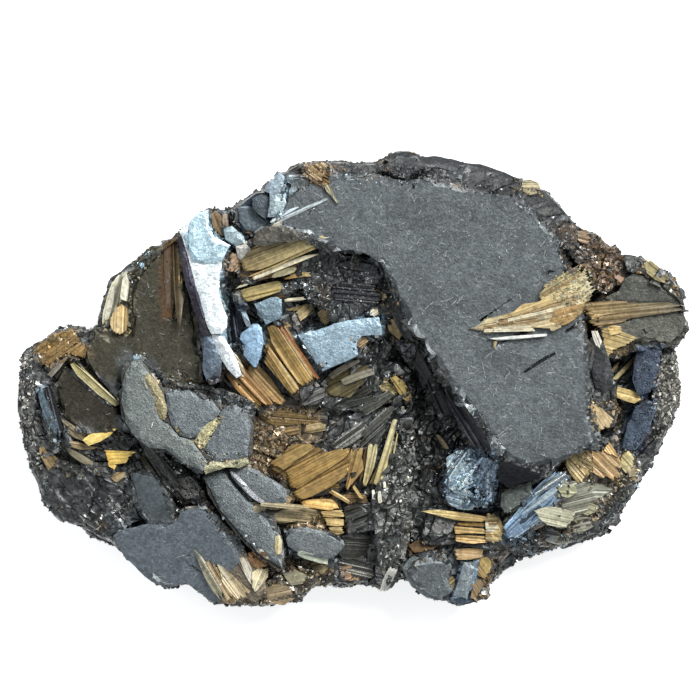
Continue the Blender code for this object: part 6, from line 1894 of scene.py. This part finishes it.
# The same for crumbs that lie on anything, also on blades and flat faces.
COVERING_CRUMBS_PX = [
    ([(198, 500), (207, 497), (216, 508), (230, 524), (246, 540), (262, 556), (248, 558), (236, 550),
      (222, 536), (210, 520)], 24.0, 0.22, (BLACK_AND_SHADE, BLACK_AND_SHADE, UMBER, TAN, STEEL_PALE, OLIVE)),
    ([(140, 290), (176, 246), (200, 350), (198, 378), (120, 370), (100, 358), (130, 334)], 5.0, 0.13,
     (BLACK_AND_SHADE, OLIVE, (0.14, 0.13, 0.10), (0.20, 0.19, 0.15))),
    ([(636, 348), (648, 344), (661, 348), (656, 380), (648, 396), (634, 396)], 34.0, 0.15,
     (BLUE_DEEP, (0.11, 0.15, 0.21), BLACK_AND_SHADE, BLUE_DARK)),
    ([(622, 448), (627, 424), (636, 406), (651, 402), (656, 410), (648, 432), (636, 450)], 34.0, 0.15,
     (BLUE_DEEP, (0.11, 0.15, 0.21), BLACK_AND_SHADE, BLUE_DARK)),
    ([(442, 470), (450, 450), (470, 448), (470, 480), (468, 508), (456, 510), (442, 496)], 30.0, 0.19,
     (ICE_GLINT, ICE_GLINT, BLUE, STEEL_PALE, WHITISH, BLUE_DARK)),
    ([(468, 450), (486, 448), (498, 460), (496, 500), (484, 512), (468, 508)], 34.0, 0.19,
     (BLUE_DARK, BLUE_DARK, BLUE, BLACK_AND_SHADE, ICE_GLINT)),
    ([(504, 530), (530, 500), (560, 478), (566, 484), (548, 508), (524, 534)], 5.0, 0.15, (ICE_GLINT, BLUE, BLACK_AND_SHADE)),
    ([(330, 258), (384, 262), (386, 306), (330, 306)], 16.0, 0.20,
     (BLACK_AND_SHADE, BLACK_AND_SHADE, GRAPHITE, STEEL, STEEL_PALE)),
    ([(146, 446), (166, 452), (200, 486), (198, 502), (178, 502), (158, 480)], 14.0, 0.20,
     (GRAPHITE, STEEL, BLACK_AND_SHADE, UMBER)),
    ([(404, 174), (470, 184), (520, 196), (550, 228), (566, 256), (560, 258), (540, 230), (514, 204),
      (465, 192), (404, 182)], 16.0, 0.17, (STEEL_PALE, GRAPHITE, BLACK_AND_SHADE, BLACK_AND_SHADE, STEEL)),
    ([(272, 222), (290, 225), (318, 237), (345, 250), (380, 262), (394, 292), (384, 298), (374, 272),
      (340, 260), (316, 248), (284, 236)], 18.0, 0.19, (STEEL, GRAPHITE, BLACK_AND_SHADE, GRAPHITE)),
    ([(470, 404), (478, 406), (500, 440), (508, 458), (498, 460), (484, 434)], 26.0, 0.22,
     (GRAPHITE, BLACK_AND_SHADE, STEEL, GRAPHITE)),
    ([(584, 398), (594, 398), (596, 424), (588, 430)], 26.0, 0.22, (GRAPHITE, BLACK_AND_SHADE, STEEL, UMBER)),
    ([(544, 286), (560, 272), (578, 262), (592, 268), (600, 286), (592, 306), (566, 306), (552, 300)], 24.0,
     0.27, (STRAW, (0.46, 0.41, 0.27), (0.36, 0.33, 0.20), TAN, GREENISH, STRAW)),
    ([(478, 330), (490, 320), (520, 312), (520, 318), (496, 330)], 8.0, 0.20, (STRAW, PALE, TAN)),
    ([(556, 304), (590, 300), (584, 312), (566, 324), (552, 326)], 9.0, 0.22, (TAN, OCHRE, STRAW, UMBER)),
    ([(582, 312), (600, 318), (598, 328), (578, 332), (568, 326)], 10.0, 0.26, (BLACK_AND_SHADE, BROWN, UMBER)),
    ([(226, 262), (240, 258), (246, 282), (232, 288)], 18.0, 0.22, (BROWN, TAN, WHITISH, BLACK_AND_SHADE)),
    ([(350, 334), (362, 334), (358, 352), (352, 350)], 10.0, 0.20, (UMBER, TAN, BLACK_AND_SHADE)),
    ([(379, 386), (392, 374), (405, 378), (414, 394), (407, 403), (398, 390), (386, 394)], 18.0, 0.24,
     (TAN, (0.38, 0.33, 0.15), UMBER, (0.30, 0.25, 0.11))),
    ([(256, 404), (300, 404), (322, 412), (322, 424), (262, 424)], 8.0, 0.24, (OCHRE, TAN, BROWN)),
    ([(345, 172), (372, 170), (420, 176), (416, 188), (372, 184), (346, 184)], 24.0, 0.16,
     (STEEL_PALE, ICE_GLINT, STEEL, BLACK_AND_SHADE)),
    ([(376, 167), (404, 167), (440, 169), (462, 175), (462, 184), (420, 182), (378, 179)], 44.0, 0.26,
     (STEEL, GRAPHITE, STEEL_LIGHT, BLACK_AND_SHADE)),
    ([(556, 250), (568, 247), (582, 258), (576, 271), (564, 272)], 60.0, 0.34,
     (UMBER, (0.13, 0.085, 0.05), BLACK_AND_SHADE, GRAPHITE)),
    ([(238, 462), (250, 466), (262, 480), (258, 484), (244, 474)], 8.0, 0.18, (WHITISH, BLACK_AND_SHADE, TAN)),
    ([(206, 448), (214, 452), (250, 454), (250, 462), (212, 464)], 14.0, 0.2, (OLIVE, TAN, GREENISH, UMBER)),
    ([(162, 418), (167, 414), (180, 428), (192, 437), (202, 441), (210, 432), (221, 414), (224, 418),
      (214, 436), (208, 452), (214, 462), (206, 466), (196, 448), (180, 436), (168, 428)], 16.0, 0.2,
     (UMBER, TAN, BLACK_AND_SHADE, OLIVE, STRAW)),
    ([(215, 395), (256, 398), (256, 416), (240, 412), (222, 408)], 26.0, 0.2,
     (BLACK_AND_SHADE, GRAPHITE, UMBER, STEEL_PALE)),
    ([(570, 448), (600, 446), (620, 470), (600, 482), (576, 482)], 4.0, 0.2, (OCHRE, STRAW, TAN)),
    ([(302, 162), (318, 158), (332, 166), (330, 186), (316, 186), (304, 178)], 30.0, 0.24,
     (TAN, (0.42, 0.32, 0.20), OCHRE, BROWN, (0.36, 0.26, 0.14))),
    ([(302, 170), (308, 168), (314, 180), (310, 188), (303, 180)], 40.0, 0.22, (BLACK_AND_SHADE, UMBER, BROWN)),
    ([(34, 388), (44, 386), (60, 424), (62, 440), (52, 440), (40, 410)], 16.0, 0.17,
     (BLUE, STEEL_PALE, BLACK_AND_SHADE, UMBER)),
    ([(54, 438), (59, 438), (60, 454), (55, 452)], 30.0, 0.2, (WHITISH, ICE_GLINT)),
    ([(133, 355), (146, 353), (147, 361), (136, 362)], 24.0, 0.22, (WHITISH, ICE_GLINT, STEEL_PALE)),
    ([(33, 350), (45, 340), (62, 332), (72, 332), (86, 348), (84, 358), (56, 364), (42, 366)], 22.0, 0.22,
     (OCHRE, OCHRE, TAN, (0.20, 0.14, 0.07))),
]
FLOOR_SKIN = 0.4  # nothing is scattered lower than this
BARE = 0.05  # what lies higher above the stone covers it


def scatter(rng, outline_px, density, bare):
    """Random places under an outline; bare keeps off the stone's flat faces and the crystals on top."""
    shape = places(outline_px)
    low_corner, high_corner = shape.min(0), shape.max(0)
    count = int(density * np.prod(high_corner - low_corner))
    spots = rng.uniform(low_corner, high_corner, (count, 2))
    spots = spots[inside(spots, shape)]
    level = np.column_stack([spots, np.full(len(spots), CEILING)])
    flat = smoothness(level, np.tile((0.0, 0.0, 1.0), (len(spots), 1)))
    found = []
    for spot in spots[(flat < 0.3) | (not bare)]:
        hit, top = height_at(SURFACE, *spot), height_at(TOPS, *spot)
        if hit and hit[0] > FLOOR_SKIN and not (bare and top[0] > hit[0] + BARE):
            found.append((*spot, top[0]))
    return np.array(found).reshape(-1, 3)


CRUMB_SIZE = 0.72  # of the length that a table gives
CRUMB_SPREAD = 0.35  # how much the sizes differ


def add_crumbs(heap, centres, size, tones):
    """Little blocks at some places, half sunk, of mixed sizes and colours."""
    rng = heap.rng
    count = len(centres)
    lengths = CRUMB_SIZE * size * np.exp(rng.normal(0.0, CRUMB_SPREAD, count))
    widths = lengths * rng.uniform(0.35, 0.8, count)
    sizes = np.column_stack([lengths, widths, lengths * rng.uniform(0.3, 0.7, count)])
    points, faces = crumbs(rng, centres, sizes, random_turns(rng, count))
    tone = np.array(tones)[rng.integers(len(tones), size=count)] * rng.uniform(0.6, 1.25, (count, 1))
    heap.take(points, faces, np.repeat(tone, 8, axis=0), np.repeat(rng.uniform(0.2, 0.5, count), 8))


def crumb_piece(name, table, finish, slot, seed, bare=True):
    """All the patches of one table as one mesh."""
    heap = Heap(seed)
    for outline_px, density, size, tones in table:
        centres = scatter(heap.rng, outline_px, density, bare)
        if len(centres):
            add_crumbs(heap, centres, size, tones)
    heap.piece(name, finish, slot)


WALL_CRUMBS = 5000
WALL_TOP = 4.4  # higher walls have crumbs from above
WALL_NORMAL = 0.6  # the normal of a wall rises or falls less than this
SPARK_SHARE = 0.7  # of the crumbs on the walls; the others are sand


def wall_crumbs(stone_piece):
    """Crumbs on the sides of the stone, where nothing can be dropped from above."""
    heap = Heap(23)
    mesh = stone_piece.data
    count = len(mesh.polygons)
    centres, normals, areas = np.zeros(3 * count), np.zeros(3 * count), np.zeros(count)
    mesh.polygons.foreach_get("center", centres)
    mesh.polygons.foreach_get("normal", normals)
    mesh.polygons.foreach_get("area", areas)
    centres, normals = centres.reshape(-1, 3) / MM, normals.reshape(-1, 3)
    steep = np.abs(normals[:, 2]) < WALL_NORMAL
    weight = areas * steep * (centres[:, 2] > FLOOR_SKIN) * (centres[:, 2] < WALL_TOP)
    chosen = heap.rng.choice(count, WALL_CRUMBS, p=weight / weight.sum())
    groups = heap.rng.random(WALL_CRUMBS)
    add_crumbs(heap, centres[chosen[groups < SPARK_SHARE]], 0.30, SPARKS)
    add_crumbs(heap, centres[chosen[groups >= SPARK_SHARE]], 0.26, GREY_SAND)
    heap.piece("wall_crumbs", HEMATITE, "hematite")


# Where pale dashes lie on flat crystals: outline, how many a square millimetre.
DASHES_PX = [
    ([(288, 188), (335, 178), (400, 182), (470, 194), (518, 206), (545, 236), (560, 262), (540, 290),
      (480, 326), (545, 332), (584, 345), (588, 402), (590, 440), (556, 460), (500, 450), (480, 420),
      (434, 356), (398, 292), (384, 264), (330, 246), (300, 240)], 3.4),
    ([(125, 540), (150, 523), (205, 508), (262, 562), (262, 600), (215, 600), (165, 586)], 1.8),
    ([(126, 377), (140, 360), (160, 388), (220, 414), (248, 440), (214, 460), (160, 440), (126, 412)], 0.5),
    ([(136, 290), (176, 244), (198, 350), (198, 380), (120, 370), (96, 360), (130, 336)], 1.0),
    ([(62, 374), (72, 365), (118, 410), (110, 422), (66, 416)], 0.4),
    ([(612, 290), (640, 278), (684, 310), (686, 327), (640, 340), (604, 352)], 0.4),
    ([(410, 574), (427, 560), (444, 563), (440, 588), (423, 591)], 0.8),
]


DASH_LENGTH = 0.13  # of the shortest
LONGEST_DASH = 1.3
DASH_SPREAD = 0.85  # how much the lengths differ
DASH_WIDTHS = (0.035, 0.075)
DASH_DROP = 0.3  # the two ends of a dash differ less than this in height
DASH_SIDES = ((-0.5, -0.08), (0.5, -0.08), (0.4, 0.035), (-0.4, 0.035))  # in widths across, and up
DASH_FACES = [(0, 1, 2, 3), (7, 6, 5, 4), (0, 4, 5, 1), (1, 5, 6, 2), (2, 6, 7, 3), (3, 7, 4, 0)]


def dash_places(rng, tree):
    """The two ends of each dash."""
    found = []
    for outline_px, density in DASHES_PX:
        shape = places(outline_px)
        low_corner, high_corner = shape.min(0), shape.max(0)
        count = int(density * np.prod(high_corner - low_corner))
        for spot in rng.uniform(low_corner, high_corner, (count, 2)):
            angle = rng.uniform(0.0, math.pi)
            half = 0.5 * min(LONGEST_DASH, DASH_LENGTH * math.exp(abs(rng.normal(0.0, DASH_SPREAD))))
            ends = spot + np.array([[-half], [half]]) * (math.cos(angle), math.sin(angle))
            if inside(ends, shape).all():
                hits = [height_at(tree, *end) for end in ends]
                if all(hits) and abs(hits[0][0] - hits[1][0]) < DASH_DROP:
                    found.append([(*end, hit[0]) for end, hit in zip(ends, hits)])
    return np.array(found)


def pale_dashes(tree):
    """Tiny light needles lying on the flat crystals in all directions."""
    heap = Heap(24)
    rng = heap.rng
    for start, end in dash_places(rng, tree):
        run = (end - start) / np.linalg.norm(end - start)
        side = np.cross((0.0, 0.0, 1.0), run)
        side /= np.linalg.norm(side)
        width = rng.uniform(*DASH_WIDTHS)
        corners = [
            point + side * width * across + np.array((0.0, 0.0, up))
            for point in (start, end)
            for across, up in DASH_SIDES
        ]
        light = rng.uniform(0.16, 0.35)
        heap.take(corners, DASH_FACES, np.tile((light, light * 1.04, light * 1.03), (8, 1)), 0.35)
    heap.piece("pale_dashes", HEMATITE, "hematite")


# ---- stage --------------------------------------------------------------------------------------

IMAGE_SIZE_PX = 700
CAMERA_HEIGHT = 800.0
FOCUS_HEIGHT = 7.0  # the photograph's scale holds here
SENSOR = 36.0
FLOOR_HALF = 3.0  # metres
FLOOR_WHITE = 0.95
FLOOR_ROUGHNESS = 0.9
FLOOR_GLOW = 0.65
# Lamps: the way to each from the stone, distance and size in metres, power in watts, colour.
LAMPS = {
    "key": ((0.45, 0.55, 1.0), 1.2, 0.62, 16.0, (1.0, 0.99, 0.97)),
    "fill": ((-0.9, 0.5, 0.8), 1.4, 0.5, 3.0, (0.85, 0.93, 1.0)),
}
SKY = (0.93, 0.97, 1.0, 1.0)
SKY_STRENGTH = 0.45


def stage():
    """The white floor under the stone."""
    half = FLOOR_HALF
    mesh = bpy.data.meshes.new("floor")
    mesh.from_pydata([(-half, -half, 0.0), (half, -half, 0.0), (half, half, 0.0), (-half, half, 0.0)], [],
                     [(0, 1, 2, 3)])
    floor = bpy.data.objects.new("floor", mesh)
    floor.location.z = CAD_LOW[2]
    bpy.context.scene.collection.objects.link(floor)
    material = bpy.data.materials.new("floor")
    material.use_nodes = True
    shader = material.node_tree.nodes["Principled BSDF"]
    shader.inputs["Base Color"].default_value = (FLOOR_WHITE, FLOOR_WHITE, FLOOR_WHITE, 1.0)
    shader.inputs["Roughness"].default_value = FLOOR_ROUGHNESS
    shader.inputs["Emission Color"].default_value = (1.0, 1.0, 1.0, 1.0)
    shader.inputs["Emission Strength"].default_value = FLOOR_GLOW
    mesh.materials.append(material)


def lamp(name, towards, distance, size, power, colour):
    """A round soft light that shines on the stone from a direction."""
    light = bpy.data.lights.new(name, "AREA")
    light.shape = "DISK"
    light.size = size
    light.energy = power
    light.color = colour
    lamp_object = bpy.data.objects.new(name, light)
    direction = Vector(towards).normalized()
    lamp_object.location = direction * distance
    lamp_object.rotation_euler = direction.to_track_quat("Z", "Y").to_euler()
    bpy.context.scene.collection.objects.link(lamp_object)


def lights():
    for name, values in LAMPS.items():
        lamp(name, *values)
    world = bpy.data.worlds.new("world")
    bpy.context.scene.world = world
    world.use_nodes = True
    background = world.node_tree.nodes["Background"]
    background.inputs["Color"].default_value = SKY
    background.inputs["Strength"].default_value = SKY_STRENGTH


def camera():
    """The camera of the photograph, straight above the middle of the picture."""
    centre = place((IMAGE_SIZE_PX / 2, IMAGE_SIZE_PX / 2))
    data = bpy.data.cameras.new("camera")
    data.sensor_width = SENSOR
    data.lens = SENSOR * (CAMERA_HEIGHT - FOCUS_HEIGHT) / (IMAGE_SIZE_PX * PIXEL)
    made = bpy.data.objects.new("camera", data)
    made.location = (centre[0] * MM, centre[1] * MM, CAMERA_HEIGHT * MM)
    bpy.context.scene.collection.objects.link(made)
    bpy.context.scene.camera = made
    bpy.context.scene.view_settings.view_transform = "Standard"


# ---- the whole specimen -------------------------------------------------------------------------

def rutile_finish(kind, metallic=0.12, ior=1.45):
    return tinted_material("rutile_" + kind, metallic, grain=4200.0, fleck=3000.0, bump_height=0.00002,
                           ior=ior)


HEMATITE = tinted_material("hematite", metallic=0.85, grain=6500.0, fleck=5200.0, bump_height=0.000025)
FINISHES = {
    "gold": rutile_finish("gold"),
    "amber": rutile_finish("amber"),
    "straw": rutile_finish("straw", metallic=0.10, ior=1.55),
}

STONE = stone(HEMATITE)
SURFACE = surface_of([STONE])
sheaves()
hematite_plates(SURFACE)
hematite_blades(SURFACE)
loose_boards(SURFACE)
TOPS = surface_of([piece for piece in bpy.data.objects if "tint" in getattr(piece.data, "attributes", {})])
crumb_piece("dark_crumbs", DARK_CRUMBS_PX, HEMATITE, "hematite", 21)
crumb_piece("earthy_crumbs", EARTHY_CRUMBS_PX, FINISHES["straw"], "rutile_straw", 22)
crumb_piece("covering_crumbs", COVERING_CRUMBS_PX, FINISHES["straw"], "rutile_straw", 25, bare=False)
wall_crumbs(STONE)
pale_dashes(TOPS)
stage()
lights()
camera()
